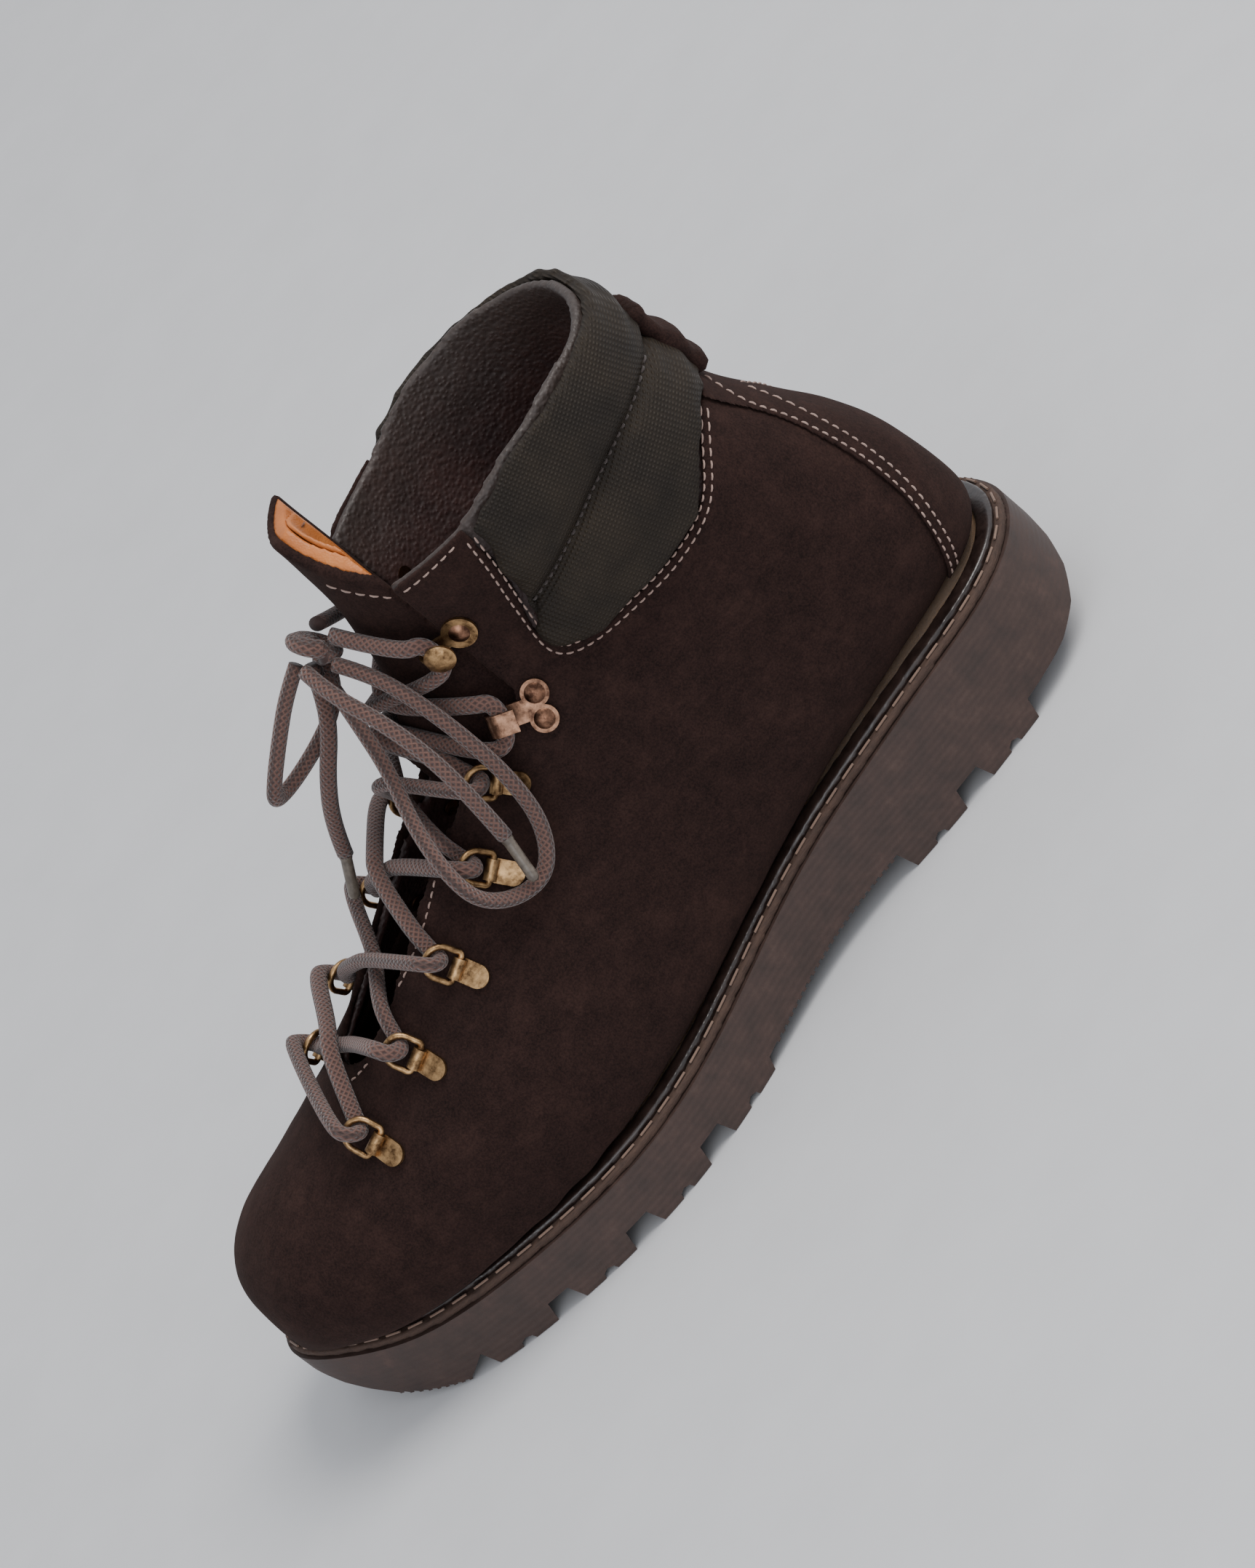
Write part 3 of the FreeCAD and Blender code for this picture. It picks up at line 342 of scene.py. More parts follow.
def brass(name, bright, dark, roughness):
    """Antique brass: dark patina in patches, brighter where it is rubbed."""
    paint = Paint(name, roughness, metallic=1.0)
    patina = paint.noise(330, 5, rough=0.65)
    scratch = paint.noise(1500, 3, (1, 0.3, 1))
    rubbed = tuple(min(255, int(1.25 * c)) for c in bright)
    base = paint.ramp(patina, (0.36, dark), (0.56, bright), (0.78, rubbed))
    paint.colour(base)
    paint.roughness(patina, roughness + 0.18, roughness - 0.08)
    paint.bump((scratch, 0.0002, 0.25), (patina, 0.0003, 0.25))
    return paint.material


PLAIT_PITCH = 0.0019
PLAITS_ROUND = 8


def lace_braid():
    """Braided lace: diagonal plaits along its length and two darker lengthwise lines."""
    paint = Paint("lace_braid", 0.75, sheen=0.25)
    uv = paint.tree.nodes.new("ShaderNodeUVMap")
    uv.uv_map = "along"
    split = paint.tree.nodes.new("ShaderNodeSeparateXYZ")
    paint.link(uv.outputs["UV"], split.inputs["Vector"])
    along = paint.maths("MULTIPLY", split.outputs["X"], 2 * math.pi / PLAIT_PITCH)
    around = paint.maths("MULTIPLY", split.outputs["Y"], 2 * math.pi * PLAITS_ROUND)
    one = paint.maths("SINE", paint.maths("ADD", along, around))
    two = paint.maths("SINE", paint.maths("SUBTRACT", along, around))
    plait = paint.maths("MAXIMUM", one, two)
    height = paint.maths("MULTIPLY_ADD", plait, 0.5, 0.5)
    stripe = paint.maths("COSINE", paint.maths("MULTIPLY", split.outputs["Y"], 2 * math.pi * 2))
    line = paint.maths("GREATER_THAN", stripe, 0.8)
    tone = paint.noise(420, 4)
    # Painted shade and light: the colour follows the plait height, darker in the gaps between the plaits
    # and lighter on their crowns; random wear and the two darker lengthwise lines are laid over it.
    base = paint.ramp(height, (0.25, (54, 34, 29)), (0.6, (88, 58, 49)), (1.0, (108, 75, 64)))
    worn = paint.mix(paint.maths("MULTIPLY", tone, 0.5), base, (68, 44, 38))
    paint.colour(paint.mix(paint.maths("MULTIPLY", line, 0.6), worn, (40, 25, 23)))
    paint.bump((height, 0.0005, 0.9), (paint.noise(2200, 3), 0.0002, 0.5))
    return paint.material


def aglet_plastic():
    """Translucent grey-brown lace tip, a little cloudy."""
    paint = Paint("aglet_plastic", 0.3)
    tone = paint.noise(500, 4)
    paint.colour(paint.ramp(tone, (0.3, (84, 74, 66)), (0.7, (128, 118, 106))))
    paint.value("Transmission Weight", 0.25)
    paint.bump((paint.noise(900, 3), 0.0002, 0.3))
    return paint.material


def felt(name, dark, light):
    """Felted fibres of inner soles, boards and foam."""
    paint = Paint(name, 0.95, sheen=0.3)
    fibre = paint.noise(1400, 6, rough=0.8)
    paint.colour(paint.ramp(fibre, (0.3, dark), (0.7, light)))
    paint.bump((fibre, 0.0005, 0.6))
    return paint.material


def make_paints():
    return {
        "suede": suede(), "collar_leather": collar_leather(), "lining_leather": lining_leather(),
        "tan_leather": tan_leather(), "sole_rubber": sole_rubber(), "bead": bead_gloss(),
        "bronze": brass("copper_bronze", (150, 114, 92), (84, 60, 48), 0.34),
        "welt": welt_leather(), "thread": thread("welt_thread", (126, 100, 84), (84, 62, 52)),
        "seam": thread("seam_thread", (172, 146, 134), (112, 84, 76)),
        "tan_seam": thread("tan_thread", (120, 66, 30), (84, 44, 20)),
        "dark_seam": thread("dark_thread", (58, 46, 42), (34, 26, 24)),
        "brass": brass("antique_brass", (172, 138, 98), (92, 68, 46), 0.34),
        "dark_brass": brass("dark_bronze", (134, 98, 78), (70, 48, 38), 0.3),
        "lace": lace_braid(), "aglet": aglet_plastic(),
        "footbed": felt("footbed_felt", (30, 24, 22), (62, 52, 47)),
        "board": felt("board_fibre", (116, 96, 72), (150, 128, 98)),
        "stiffener": felt("stiffener_fibre", (160, 150, 130), (190, 180, 160)),
        "cork": felt("cork_filler", (110, 78, 48), (160, 120, 78)),
        "steel": brass("shank_steel", (165, 165, 168), (110, 110, 114), 0.3),
    }


# ---------------------------------------------------------------- mesh helpers
def add_object(name, mesh, paint, smooth=True):
    """A new object with one material, shown smooth or with sharp edges kept."""
    thing = bpy.data.objects.new(name, mesh)
    bpy.context.scene.collection.objects.link(thing)
    mesh.materials.clear()
    mesh.materials.append(paint)
    if smooth:
        mesh.polygons.foreach_set("use_smooth", [True] * len(mesh.polygons))
    return thing


def stand_for(thing, body, *nodes):
    """The piece rides on a body and stands for CAD nodes."""
    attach(thing, body)
    if nodes:
        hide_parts(*nodes)


def applied(thing):
    """Replaces the object's mesh with what its modifiers give."""
    graph = bpy.context.evaluated_depsgraph_get()
    graph.update()
    mesh = bpy.data.meshes.new_from_object(thing.evaluated_get(graph))
    thing.modifiers.clear()
    old = thing.data
    thing.data = mesh
    bpy.data.meshes.remove(old)
    return mesh


def copy_of(name, paint, *nodes):
    """One object holding copies of the meshes of CAD nodes."""
    joined = bmesh.new()
    for node in nodes:
        joined.from_mesh(NODES[node].data)
    bmesh.ops.remove_doubles(joined, verts=joined.verts, dist=1e-6)
    mesh = bpy.data.meshes.new(name)
    joined.to_mesh(mesh)
    joined.free()
    return add_object(name, mesh, paint)


def skinned(name, paint, voxel, smooth, *nodes):
    """A fine even mesh over CAD nodes, with its edges softened."""
    thing = copy_of(name, paint, *nodes)
    remesh = thing.modifiers.new("remesh", "REMESH")
    remesh.mode = "VOXEL"
    remesh.voxel_size = voxel
    if smooth:
        soften = thing.modifiers.new("soften", "SMOOTH")
        soften.factor = 0.5
        soften.iterations = smooth
    mesh = applied(thing)
    mesh.materials.clear()
    mesh.materials.append(paint)
    mesh.polygons.foreach_set("use_smooth", [True] * len(mesh.polygons))
    return thing


def push(thing, distance):
    """Moves each point along its normal by distance(place, normal)."""
    mesh = thing.data
    moved = [(v.co.copy(), v.normal.copy()) for v in mesh.vertices]
    for vertex, (place, normal) in zip(mesh.vertices, moved):
        vertex.co = place + normal * distance(place, normal)
    mesh.update()


def rumple(place, size):
    """Smooth noise from -1 to 1 with bumps about size apart."""
    return noise.noise(place / size)


def tree_of(thing):
    graph = bpy.context.evaluated_depsgraph_get()
    graph.update()
    return BVHTree.FromObject(thing, graph)


def curve_through(points, step):
    """Places every step along a smooth curve through points."""
    samples = []
    ends = [points[0] * 2 - points[1]] + list(points) + [points[-1] * 2 - points[-2]]
    for a, b, c, d in zip(ends, ends[1:], ends[2:], ends[3:]):
        for k in range(24):
            t = k / 24
            samples.append(0.5 * (2 * b + (c - a) * t + (2 * a - 5 * b + 4 * c - d) * t * t
                                  + (3 * b - a - 3 * c + d) * t ** 3))
    samples.append(points[-1])
    walked = [0.0]
    for first, second in zip(samples, samples[1:]):
        walked.append(walked[-1] + (second - first).length)
    count = max(2, round(walked[-1] / step))
    even = []
    k = 0
    for n in range(count + 1):
        goal = walked[-1] * n / count
        while k < len(walked) - 2 and walked[k + 1] < goal:
            k += 1
        share = (goal - walked[k]) / max(walked[k + 1] - walked[k], 1e-9)
        even.append(samples[k].lerp(samples[k + 1], min(1.0, share)))
    return even


def on_surface(tree, points, towards, reach=0.2):
    """Points dropped on a surface from reach before them, each with the surface normal."""
    found = []
    for point in points:
        place, normal, _, _ = tree.ray_cast(point - towards * reach, towards)
        if place is not None:
            found.append((place, normal))
    return found


def add_stitch(shell, start, end, normal, radius, sink):
    """One stitch: a short rounded bead that dips into the material at both ends."""
    run = end - start
    side = run.cross(normal).normalized()
    rings = []
    profile = ((0.0, 0.35, 1.5), (0.15, 0.85, 0.5), (0.5, 1.0, 0.0), (0.85, 0.85, 0.5), (1.0, 0.35, 1.5))
    for share, size, drop in profile:
        centre = start + run * share + normal * (radius * (0.75 - drop) - sink)
        ring = []
        for k in range(6):
            turn = k * math.pi / 3
            spoke = side * math.cos(turn) + normal * math.sin(turn)
            ring.append(shell.verts.new(centre + spoke * radius * size))
        rings.append(ring)
    for low, high in zip(rings, rings[1:]):
        for k in range(6):
            shell.faces.new((low[k], low[(k + 1) % 6], high[(k + 1) % 6], high[k]))
    shell.faces.new(rings[0][::-1])
    shell.faces.new(rings[-1])


def stitch_rows(name, paint, rows, pitch=0.0030, gap=0.0008, radius=0.00032, sink=0.0):
    """Stitches along rows of (place, normal) pairs, in one object."""
    shell = bmesh.new()
    for row in rows:
        for (start, normal), (end, other) in zip(row, row[1:]):
            if (end - start).length > 2 * pitch:
                continue
            run = (end - start).normalized()
            first = start + run * gap / 2
            last = end - run * gap / 2
            add_stitch(shell, first, last, (normal + other).normalized(), radius, sink)
    mesh = bpy.data.meshes.new(name)
    shell.to_mesh(mesh)
    shell.free()
    return add_object(name, mesh, paint)


# ---------------------------------------------------------------- lace routes
# The same points as the lace solids follow, in metres.
KNOT = (0.002, 0.003, 0.167)
LACED = [
    # knot, lateral side
    (0.0075, 0.008, 0.168),
    # lateral upper hook
    (0.023, 0.016, 0.156), (0.026, 0.022, 0.1545), (0.0255, 0.0215, 0.144), (0.0225, 0.015, 0.143),
    # crossing 6
    (0.0055, -0.0005, 0.1445), (-0.001, -0.002, 0.1405),
    # medial lower hook
    (-0.0235, 0.017, 0.1315), (-0.026, 0.0225, 0.128), (-0.026, 0.016, 0.117),
    (-0.024, 0.0106, 0.1208),
    # crossing 5
    (-0.0005, -0.0045, 0.137), (0.0065, -0.006, 0.1355),
    # lateral ring 5
    (0.0205, 0.001, 0.1245), (0.024, 0.002, 0.119), (0.0285, 0.0035, 0.116), (0.033, 0.0005, 0.117),
    (0.032, -0.003, 0.1205),
    # crossing 4
    (0.007, -0.0135, 0.127), (0.001, -0.0165, 0.1255),
    # medial ring 4
    (-0.0145, -0.015, 0.113), (-0.018, -0.015, 0.1075), (-0.0225, -0.0135, 0.1045),
    (-0.027, -0.0165, 0.1065), (-0.026, -0.0195, 0.11),
    # crossing 3
    (0.001, -0.031, 0.1135), (0.007, -0.035, 0.1125),
    # lateral ring 3
    (0.0215, -0.04, 0.102), (0.0275, -0.0415, 0.095), (0.0325, -0.0415, 0.093),
    (0.036, -0.044, 0.096), (0.034, -0.0465, 0.0995),
    # crossing 2
    (0.0065, -0.055, 0.098), (0, -0.058, 0.0965),
    # medial ring 2
    (-0.013, -0.062, 0.091), (-0.0175, -0.063, 0.086), (-0.023, -0.063, 0.085),
    (-0.026, -0.066, 0.0885), (-0.023, -0.068, 0.092),
    # crossing 1
    (0, -0.0765, 0.09), (0.0055, -0.081, 0.089),
    # lateral ring 1
    (0.0195, -0.091, 0.0755), (0.025, -0.092, 0.075), (0.0275, -0.095, 0.079),
    (0.024, -0.0965, 0.082),
    # medial ring 1
    (-0.0185, -0.0875, 0.0865), (-0.022, -0.086, 0.0835), (-0.0205, -0.083, 0.0795),
    (-0.0145, -0.0825, 0.0795), (-0.009, -0.081, 0.0835),
    # crossing 1
    (-0.0005, -0.0785, 0.084), (0.006, -0.0755, 0.0845),
    # lateral ring 2
    (0.0285, -0.072, 0.0905), (0.0315, -0.0705, 0.087), (0.029, -0.067, 0.0835),
    (0.0235, -0.066, 0.0845), (0.018, -0.063, 0.0905),
    # crossing 2
    (0.0065, -0.057, 0.092), (0.0005, -0.053, 0.093),
    # medial ring 3
    (-0.026, -0.0435, 0.1), (-0.0275, -0.041, 0.0965), (-0.0235, -0.0385, 0.0935),
    (-0.0185, -0.039, 0.0955), (-0.0145, -0.0385, 0.1015),
    # crossing 3
    (0.001, -0.033, 0.1075), (0.0075, -0.03, 0.1095),
    # lateral ring 4
    (0.035, -0.02, 0.1085), (0.0355, -0.017, 0.1045), (0.031, -0.0155, 0.1025),
    (0.0265, -0.0165, 0.1052), (0.023, -0.017, 0.112),
    # crossing 4
    (0.007, -0.0145, 0.121), (0.001, -0.011, 0.123),
    # medial ring 5
    (-0.025, -0.0027, 0.1232), (-0.026, 0.0003, 0.1197), (-0.0215, 0.0033, 0.1182),
    (-0.0175, 0.0023, 0.1217),
    # crossing 5
    (-0.0005, -0.0025, 0.132), (0.0065, -0.001, 0.1335),
    # lateral lower hook
    (0.0295, 0.0095, 0.12), (0.0315, 0.016, 0.118), (0.0295, 0.022, 0.1285), (0.0275, 0.0165, 0.1325),
    # crossing 6
    (0.005, 0.003, 0.139), (-0.001, 0.004, 0.143),
    # medial upper hook
    (-0.019, 0.016, 0.143), (-0.0225, 0.022, 0.144), (-0.0235, 0.0225, 0.1545),
    (-0.02, 0.0165, 0.156),
    # knot, medial side
    (-0.003, 0.008, 0.1685),
]
NEAR_LOOP = [
    (0.0085, 0.0025, 0.1625), (0.0145, 0.006, 0.1565), (0.0225, 0.0085, 0.1475),
    (0.0315, 0.0095, 0.131), (0.0365, 0.0085, 0.1135), (0.038, 0.0045, 0.098),
    (0.0395, -0.0045, 0.0885), (0.039, -0.015, 0.09), (0.041, -0.0225, 0.0995),
    (0.04, -0.0225, 0.111), (0.031, -0.0185, 0.123), (0.019, -0.0105, 0.135), (0.0115, -0.006, 0.147),
    (0.006, -0.003, 0.1555), (0.0035, -0.0015, 0.1605),
]
NEAR_END = [
    (0.0065, -0.004, 0.167), (0.015, -0.0045, 0.1615), (0.025, -0.0015, 0.149),
    (0.0335, -0.0005, 0.135), (0.0385, -0.002, 0.1205), (0.0395, -0.0045, 0.1055),
]
NEAR_AGLET = [
    (0.0395, -0.0045, 0.1055), (0.0435, -0.0085, 0.092),
]
FAR_LOOP = [
    (0.001, -0.004, 0.1675), (0.0005, -0.012, 0.164), (0.0005, -0.023, 0.157), (0, -0.032, 0.1505),
    (-0.0025, -0.0365, 0.1455), (-0.007, -0.0345, 0.142), (-0.0085, -0.027, 0.1415),
    (-0.0085, -0.017, 0.143), (-0.008, -0.0075, 0.146), (-0.0065, 0, 0.1535), (-0.005, 0.004, 0.1635),
]
FAR_END = [
    (-0.002, -0.0015, 0.1625), (-0.002, -0.0055, 0.155), (-0.0015, -0.012, 0.1465),
    (-0.005, -0.0235, 0.1355), (-0.01, -0.032, 0.1235), (-0.0135, -0.0365, 0.113),
]
FAR_AGLET = [
    (-0.0135, -0.0365, 0.113), (-0.0145, -0.0445, 0.1015),
]


# ---------------------------------------------------------------- laces
BRAID_HALF = (0.00245, 0.0021)        # half width and half thickness
AGLET_R = 0.0017


def route_curve(name, points):
    """The cord's line: a NURBS spline with the route's points as its control points."""
    curve = bpy.data.curves.new(name, "CURVE")
    curve.dimensions = "3D"
    curve.resolution_u = 8
    spline = curve.splines.new("NURBS")
    spline.points.add(len(points) - 1)
    for control, point in zip(spline.points, points):
        control.co = (*point, 1.0)
    spline.order_u = 3
    spline.use_endpoint_u = True
    thing = bpy.data.objects.new(name, curve)
    bpy.context.scene.collection.objects.link(thing)
    graph = bpy.context.evaluated_depsgraph_get()
    graph.update()
    line = bpy.data.meshes.new_from_object(thing.evaluated_get(graph))
    path = [v.co.copy() for v in line.vertices]
    bpy.data.objects.remove(thing)
    bpy.data.meshes.remove(line)
    return path


def tube(name, path, paint, widths, sides=16):
    """A tube along a path, with a half width and half thickness at each point, and lengthwise UVs."""
    shell = bmesh.new()
    layer = shell.loops.layers.uv.new("along")
    tangent = (path[1] - path[0]).normalized()
    across = tangent.orthogonal().normalized()
    rings = []
    walked = 0.0
    marks = []
    for k, place in enumerate(path):
        ahead = path[min(k + 1, len(path) - 1)] - path[max(k - 1, 0)]
        tangent = ahead.normalized()
        across = (across - tangent * across.dot(tangent)).normalized()
        other = tangent.cross(across)
        wide, thick = widths(k / (len(path) - 1))
        ring = []
        for n in range(sides):
            turn = 2 * math.pi * n / sides
            spoke = across * math.cos(turn) * wide + other * math.sin(turn) * thick
            ring.append(shell.verts.new(place + spoke))
        rings.append(ring)
        if k:
            walked += (place - path[k - 1]).length
        marks.append(walked)
    for k in range(len(rings) - 1):
        for n in range(sides):
            m = (n + 1) % sides
            face = shell.faces.new((rings[k][n], rings[k][m], rings[k + 1][m], rings[k + 1][n]))
            corners = ((marks[k], n), (marks[k], n + 1), (marks[k + 1], n + 1), (marks[k + 1], n))
            for loop, (length, step) in zip(face.loops, corners):
                loop[layer].uv = (length, step / sides)
    for ring, flip in ((rings[0], True), (rings[-1], False)):
        shell.faces.new(ring[::-1] if flip else ring)
    mesh = bpy.data.meshes.new(name)
    shell.to_mesh(mesh)
    shell.free()
    return add_object(name, mesh, paint)


def lace_width(share):
    """The braid's half width and half thickness."""
    return BRAID_HALF


def aglet_width(share):
    """A crimped tip: full in the middle, rounded over at the free end."""
    end = min(1.0, (1.0 - share) / 0.08)
    grip = 0.12 if share < 0.12 else 0.0
    size = AGLET_R * (0.55 + 0.45 * math.sqrt(max(0.0, end))) * (1.0 + grip)
    return size, size * 0.92


def add_aglet(name, start, end, paint, node):
    ends = (Vector(start), Vector(end))
    path = [ends[0].lerp(ends[1], k / 24) for k in range(25)]
    thing = tube(name, path, paint, aglet_width, 14)
    stand_for(thing, "boot", node)
    return thing


def add_laces(paints):
    """The laced run, two bow loops, two ends with their tips, and the knot over them."""
    tips = {
        "lace_end_near": add_aglet("lace_tip_near", *NEAR_AGLET, paints["aglet"], "aglet_near"),
        "lace_end_far": add_aglet("lace_tip_far", *FAR_AGLET, paints["aglet"], "aglet_far"),
    }
    knot = add_knot(paints)
    runs = (("lace_laced", LACED, 0.98), ("lace_loop_near", NEAR_LOOP, 0.18),
            ("lace_end_near", NEAR_END, 0.073), ("lace_loop_far", FAR_LOOP, 0.094),
            ("lace_end_far", FAR_END, 0.063))
    for name, route, length in runs:
        path = route_curve(name + "_line", [Vector(point) for point in route])
        thing = tube(name + "_braid", path, paints["lace"], lace_width)
        stand_for(thing, "boot", name)
    return knot


def add_knot(paints):
    """The bow's knot: a band of lace drawn tight round the crossing, over two folded turns."""
    centre = Vector(KNOT)
    turns = (
        ((0.0, 0.2, 0.0), (1.0, 0.0, 0.0), (0.0, -0.55, 0.83), 6.2, 5.4),
        ((0.9, -1.2, 1.6), (0.85, 0.2, -0.45), (0.2, -0.5, 0.84), 5.2, 4.4),
        ((-0.9, 0.8, -1.8), (0.75, -0.3, 0.55), (-0.5, -0.4, 0.75), 5.0, 4.2),
    )
    parts = []
    for k, (shift, first, second, wide, high) in enumerate(turns):
        along = Vector(first).normalized()
        up = (Vector(second) - along * Vector(second).dot(along)).normalized()
        middle = centre + Vector(shift) * MM
        loop = []
        for n in range(10):
            turn = 2 * math.pi * n / 9
            loop.append(middle + along * math.cos(turn) * wide * MM + up * math.sin(turn) * high * MM
                        + along.cross(up) * (n - 4.5) * 0.25 * MM)
        path = route_curve("knot_line_%d" % k, loop)
        parts.append(tube("lace_knot_turn_%d" % k, path, paints["lace"], lace_width))
    for part in parts:
        stand_for(part, "boot")
    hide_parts("lace_knot")
    return parts


# ---------------------------------------------------------------- upper
# Seams as (back, height) in millimetres, and the vamp's arc as (back, x).
STITCH_STEP = 0.003
BACKSTAY_ROW = [(33, 134), (31, 120), (26, 106), (22.5, 88), (22.5, 70), (27, 52), (33, 36)]
COLLAR_ROW = [(105.5, 169), (107.5, 158), (111, 142), (113.5, 125.5), (106, 119), (90, 116.5), (72, 115.5),
              (57, 118.5), (44, 127), (36, 131)]
EAR_ROW = [(108, 170.5), (120, 169.8), (134, 169), (136.5, 165)]
TONGUE_ROW = [(142, 189), (139, 183), (135.5, 176), (129, 167.5)]
TAN_ROW = [(109.5, 150), (109.5, 170), (110, 187), (113, 190), (125, 191.5), (136, 191)]
PATCH_ROW = [(132, 191.5), (127, 186), (125.5, 174), (128.5, 161)]
EYE_ROW = [(133, 162), (140, 140), (150, 126), (170, 111), (196, 97), (219, 87), (233, 81)]
VAMP_ARC = [(232, 13), (240, 8), (243, 0), (240, -7), (232, -11)]


def suede_relief(place, normal):
    """Soft dents and flex folds of worn suede."""
    soft = 0.00035 * rumple(place, 0.022) + 0.0002 * rumple(place * 1.0 + Vector((1, 2, 3)), 0.009)
    back = LENGTH / 2 - place.y
    waves = math.sin((back + place.x * 0.25) * 2 * math.pi / 0.016)
    flex = waves * math.exp(-((back - 0.225) / 0.018) ** 2)
    ankle = math.exp(-((back - 0.125) / 0.03) ** 2 - ((place.z - 0.085) / 0.02) ** 2)
    fold = math.sin((place.z + 0.35 * back) * 2 * math.pi / 0.015) * ankle
    return soft + 0.00035 * flex + 0.0004 * fold


TAB_SWELL = 0.0018                    # keeps the back tab above the swollen collar


def add_upper(paints, fine):
    """Suede body, heel patch and back tab."""
    body = skinned("suede_body", paints["suede"], 0.0009 if fine else 0.0016, 3, "upper")
    push(body, suede_relief)
    stand_for(body, "boot", "upper")
    heel = skinned("heel_patch", paints["suede"], 0.0006, 2, "backstay")
    push(heel, suede_relief)
    stand_for(heel, "boot", "backstay")
    tab = skinned("pull_tab", paints["suede"], 0.0006, 2, "back_tab")
    push(tab, lambda place, normal: TAB_SWELL + max(0.0, collar_relief(place, normal)))
    stand_for(tab, "boot", "back_tab")
    for side in ("lateral", "medial"):
        gusset = skinned("bellows_" + side, paints["suede"], 0.0009, 2, "gusset_" + side)
        stand_for(gusset, "boot", "gusset_" + side)
    return body, heel


def side_row(tree, outline, side, step, shift=(0.0, 0.0)):
    """A row of places on the suede, from a side-view line of (back, height)."""
    points = [at(back + shift[0], 0, z + shift[1]) for back, z in outline]
    towards = Vector((-1, 0, 0)) if side == "lateral" else Vector((1, 0, 0))
    return on_surface(tree, curve_through(points, step), towards)


def top_row(tree, outline, step):
    points = [at(back, x, 60) for back, x in outline]
    return on_surface(tree, curve_through(points, step), Vector((0, 0, -1)))


def offset_row(row, distance):
    """The same row moved sideways over the surface."""
    moved = []
    for k, (place, normal) in enumerate(row):
        ahead = row[min(k + 1, len(row) - 1)][0] - row[max(k - 1, 0)][0]
        moved.append((place + ahead.cross(normal).normalized() * distance, normal))
    return moved


def add_seams(paints, body, heel):
    """Pale double stitching along the facings, the collar and the heel patch, and the vamp's arc."""
    suede_tree = tree_of(body)
    heel_tree = tree_of(heel)
    rows = []
    for side in ("lateral", "medial"):
        collar = side_row(suede_tree, COLLAR_ROW, side, STITCH_STEP)
        apart = -0.0024 if side == "lateral" else 0.0024
        rows += [collar, offset_row(collar, apart), side_row(suede_tree, EAR_ROW, side, STITCH_STEP),
                 side_row(suede_tree, EYE_ROW, side, STITCH_STEP)]
        patch = side_row(heel_tree, BACKSTAY_ROW, side, STITCH_STEP, (-3.2, 0))
        rows += [patch, side_row(heel_tree, BACKSTAY_ROW, side, STITCH_STEP, (-6.0, 0))]
    rows += [top_row(suede_tree, VAMP_ARC, STITCH_STEP)]
    seams = stitch_rows("suede_seams", paints["seam"], rows)
    stand_for(seams, "boot")


# ---------------------------------------------------------------- collar
# The channel between the collar's rolls, as (back, height) in millimetres.
CHANNEL = [(109, 141), (84, 148), (63, 152.5), (46, 154), (33, 154), (18, 154)]


def channel_height(back):
    """Height of the stitched channel between the two rolls."""
    rows = sorted(CHANNEL)
    for (low, first), (high, second) in zip(rows, rows[1:]):
        if back <= high:
            share = max(0.0, (back - low) / (high - low))
            return first + (second - first) * share
    return rows[-1][1]


def collar_relief(place, normal):
    """Pulls the channel in and lets the rolls stand out; only the outer skin moves."""
    back = (LENGTH / 2 - place.y) / MM
    z = place.z / MM
    outward = 1.0 if normal.x * place.x > 0 or normal.y > 0.5 else 0.0
    away = z - channel_height(back)
    groove = -2.6 * math.exp(-(away / 2.2) ** 2) * outward
    rolls = 1.5 * (math.exp(-((away - 12) / 8) ** 2) + math.exp(-((away + 12) / 8) ** 2)) * outward
    rear = math.exp(-((back - 22) / 16) ** 2)
    folds = 0.7 * rear * math.sin((z * 0.9 + back * 0.55) * 2 * math.pi / 11)
    crumple = 0.5 * rumple(place, 0.013) + 0.25 * rumple(place, 0.006)
    return (groove + rolls + folds + crumple) * MM


PAD_SINK = 0.0004                     # room for the pad to swell
PUFF_PRESSURE = 4.0
PUFF_CAP = 0.0022
PUFF_FRAMES = 20


def puff(thing, pressure, cap):
    """Cloth simulation under pressure, with no point moving further than cap."""
    before = [v.co.copy() for v in thing.data.vertices]
    cloth = thing.modifiers.new("cloth", "CLOTH")
    settings = cloth.settings
    settings.use_pressure = True
    settings.uniform_pressure_force = pressure
    settings.effector_weights.gravity = 0.0
    settings.quality = 6
    settings.mass = 0.3
    settings.tension_stiffness = 20
    settings.compression_stiffness = 20
    settings.bending_stiffness = 2
    scene = bpy.context.scene
    for number in range(1, PUFF_FRAMES + 1):
        scene.frame_set(number)
    mesh = applied(thing)
    for vertex, start in zip(mesh.vertices, before):
        moved = vertex.co - start
        if moved.length > cap:
            vertex.co = start + moved.normalized() * cap
    mesh.update()
    scene.frame_set(1)


def add_collar(paints, fine):
    """Padded leather collar: swollen as one pad, then the channel sewn in."""
    pad = skinned("collar_pad", paints["collar_leather"], 0.0028, 2, "collar_cover", "collar_foam")
    push(pad, lambda place, normal: -PAD_SINK)
    if fine:
        puff(pad, PUFF_PRESSURE, PUFF_CAP)
    finer = pad.modifiers.new("finer", "SUBSURF")
    finer.levels = 2
    applied(pad)
    pad.data.materials.clear()
    pad.data.materials.append(paints["collar_leather"])
    pad.data.polygons.foreach_set("use_smooth", [True] * len(pad.data.polygons))
    push(pad, collar_relief)
    stand_for(pad, "boot", "collar_cover", "collar_foam")
    tree = tree_of(pad)
    rows = []
    for side in ("lateral", "medial"):
        rows.append(side_row(tree, CHANNEL, side, 0.0026))
    seam = stitch_rows("collar_seam", paints["dark_seam"], rows, radius=0.00042)
    stand_for(seam, "boot")


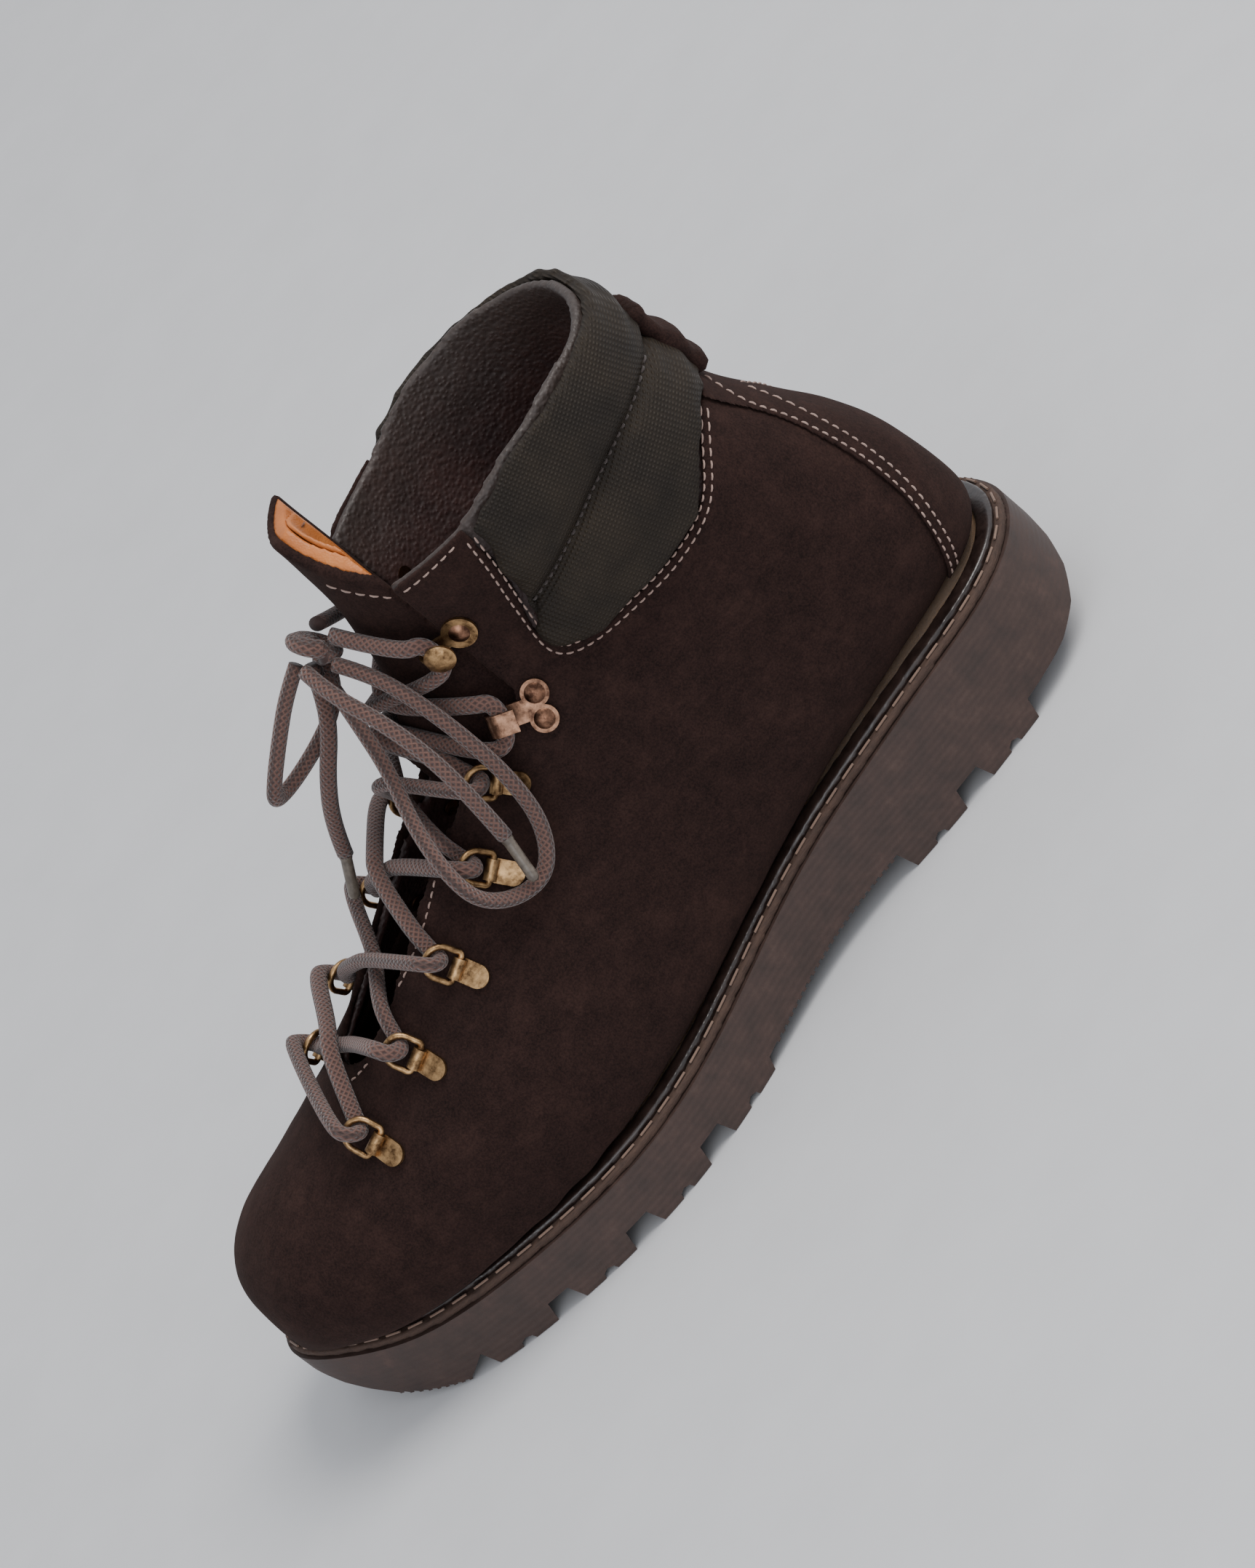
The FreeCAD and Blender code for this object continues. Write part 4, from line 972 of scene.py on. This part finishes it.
def lining_relief(place, normal):
    """Creases in the lining behind the heel and ankle."""
    back = (LENGTH / 2 - place.y) / MM
    rear = math.exp(-((back - 25) / 22) ** 2) * max(0.0, min(1.0, (place.z / MM - 110) / 20))
    crease = math.sin((place.z / MM * 0.8 + back * 0.5) * 2 * math.pi / 13 + 2 * rumple(place, 0.03))
    return (0.55 * rear * crease + 0.25 * rumple(place, 0.012)) * MM


def add_inside(paints, fine):
    """Lining and the footbed in it."""
    lining = skinned("lining_skin", paints["lining_leather"], 0.0013 if fine else 0.0018, 2, "lining")
    push(lining, lining_relief)
    stand_for(lining, "boot", "lining")
    bed = skinned("inner_sole", paints["footbed"], 0.0016, 3, "footbed")
    stand_for(bed, "boot", "footbed")


TONGUE_SWELL = 0.0009                 # closes the slit between tongue and facings


def add_tongue(paints, fine):
    """Suede tongue with its pad, tan back, sewn-on patch and edge stitching."""
    voxel = 0.0008 if fine else 0.0013
    face = skinned("tongue_face", paints["suede"], voxel, 2, "tongue")
    push(face, lambda place, normal: TONGUE_SWELL + 0.0003 * rumple(place, 0.015))
    stand_for(face, "boot", "tongue")
    back = skinned("tongue_back", paints["tan_leather"], 0.0011, 4, "tongue_foam", "tongue_lining")
    push(back, lambda place, normal: (0.5 * rumple(place, 0.02) + 0.2 * rumple(place, 0.008)) * MM)
    stand_for(back, "boot", "tongue_lining", "tongue_foam")
    patch = skinned("tongue_overlay", paints["tan_leather"], 0.0007, 2, "tongue_patch")
    stand_for(patch, "boot", "tongue_patch")
    edge_row = side_row(tree_of(face), TONGUE_ROW, "lateral", STITCH_STEP)
    pale = stitch_rows("tongue_seam", paints["seam"], [edge_row])
    stand_for(pale, "boot")
    rows = []
    for tree, line in ((tree_of(back), TAN_ROW), (tree_of(patch), PATCH_ROW)):
        points = curve_through([at(far, 4, z) for far, z in line], 0.0026)
        rows.append(on_surface(tree, points, Vector((-1, 0, 0)), 0.0))
    tan = stitch_rows("tongue_tan_seam", paints["tan_seam"], rows)
    stand_for(tan, "boot")


# ---------------------------------------------------------------- sole and hardware
def add_bottom(paints, fine):
    """Bead and welt."""
    bead = skinned("piping", paints["bead"], 0.0006 if fine else 0.001, 3, "rand_bead")
    stand_for(bead, "boot", "rand_bead")
    welt = skinned("welt_strip", paints["welt"], 0.0008 if fine else 0.0012, 1, "welt")
    push(welt, lambda place, normal: 0.00018 * rumple(place, 0.004))
    stand_for(welt, "boot", "welt")


def paint_nodes(paints):
    """Gives each CAD node that stays in view, or inside, its own material."""
    chosen = {
        "outsole": "sole_rubber", "welt_stitches": "thread", "filler": "cork", "shank": "steel",
        "insole_board": "board", "heel_counter": "stiffener", "toe_puff": "stiffener",
        "clip_rivets": "dark_brass", "hook_rivets": "dark_brass", "hook_lower_lateral": "bronze",
        "hook_lower_medial": "bronze",
    }
    for name, node in NODES.items():
        paint = chosen.get(name, "brass")
        if name.startswith(("lace", "aglet")):
            paint = "lace"
        if not node.data.materials:
            node.data.materials.append(None)
        for k in range(len(node.material_slots)):
            node.material_slots[k].material = paints[paint]


def make_boot():
    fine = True
    paints = make_paints()
    paint_nodes(paints)
    add_laces(paints)
    body, heel = add_upper(paints, fine)
    add_seams(paints, body, heel)
    add_collar(paints, fine)
    add_inside(paints, fine)
    add_tongue(paints, fine)
    add_bottom(paints, fine)


add_camera()
add_surroundings()
make_boot()
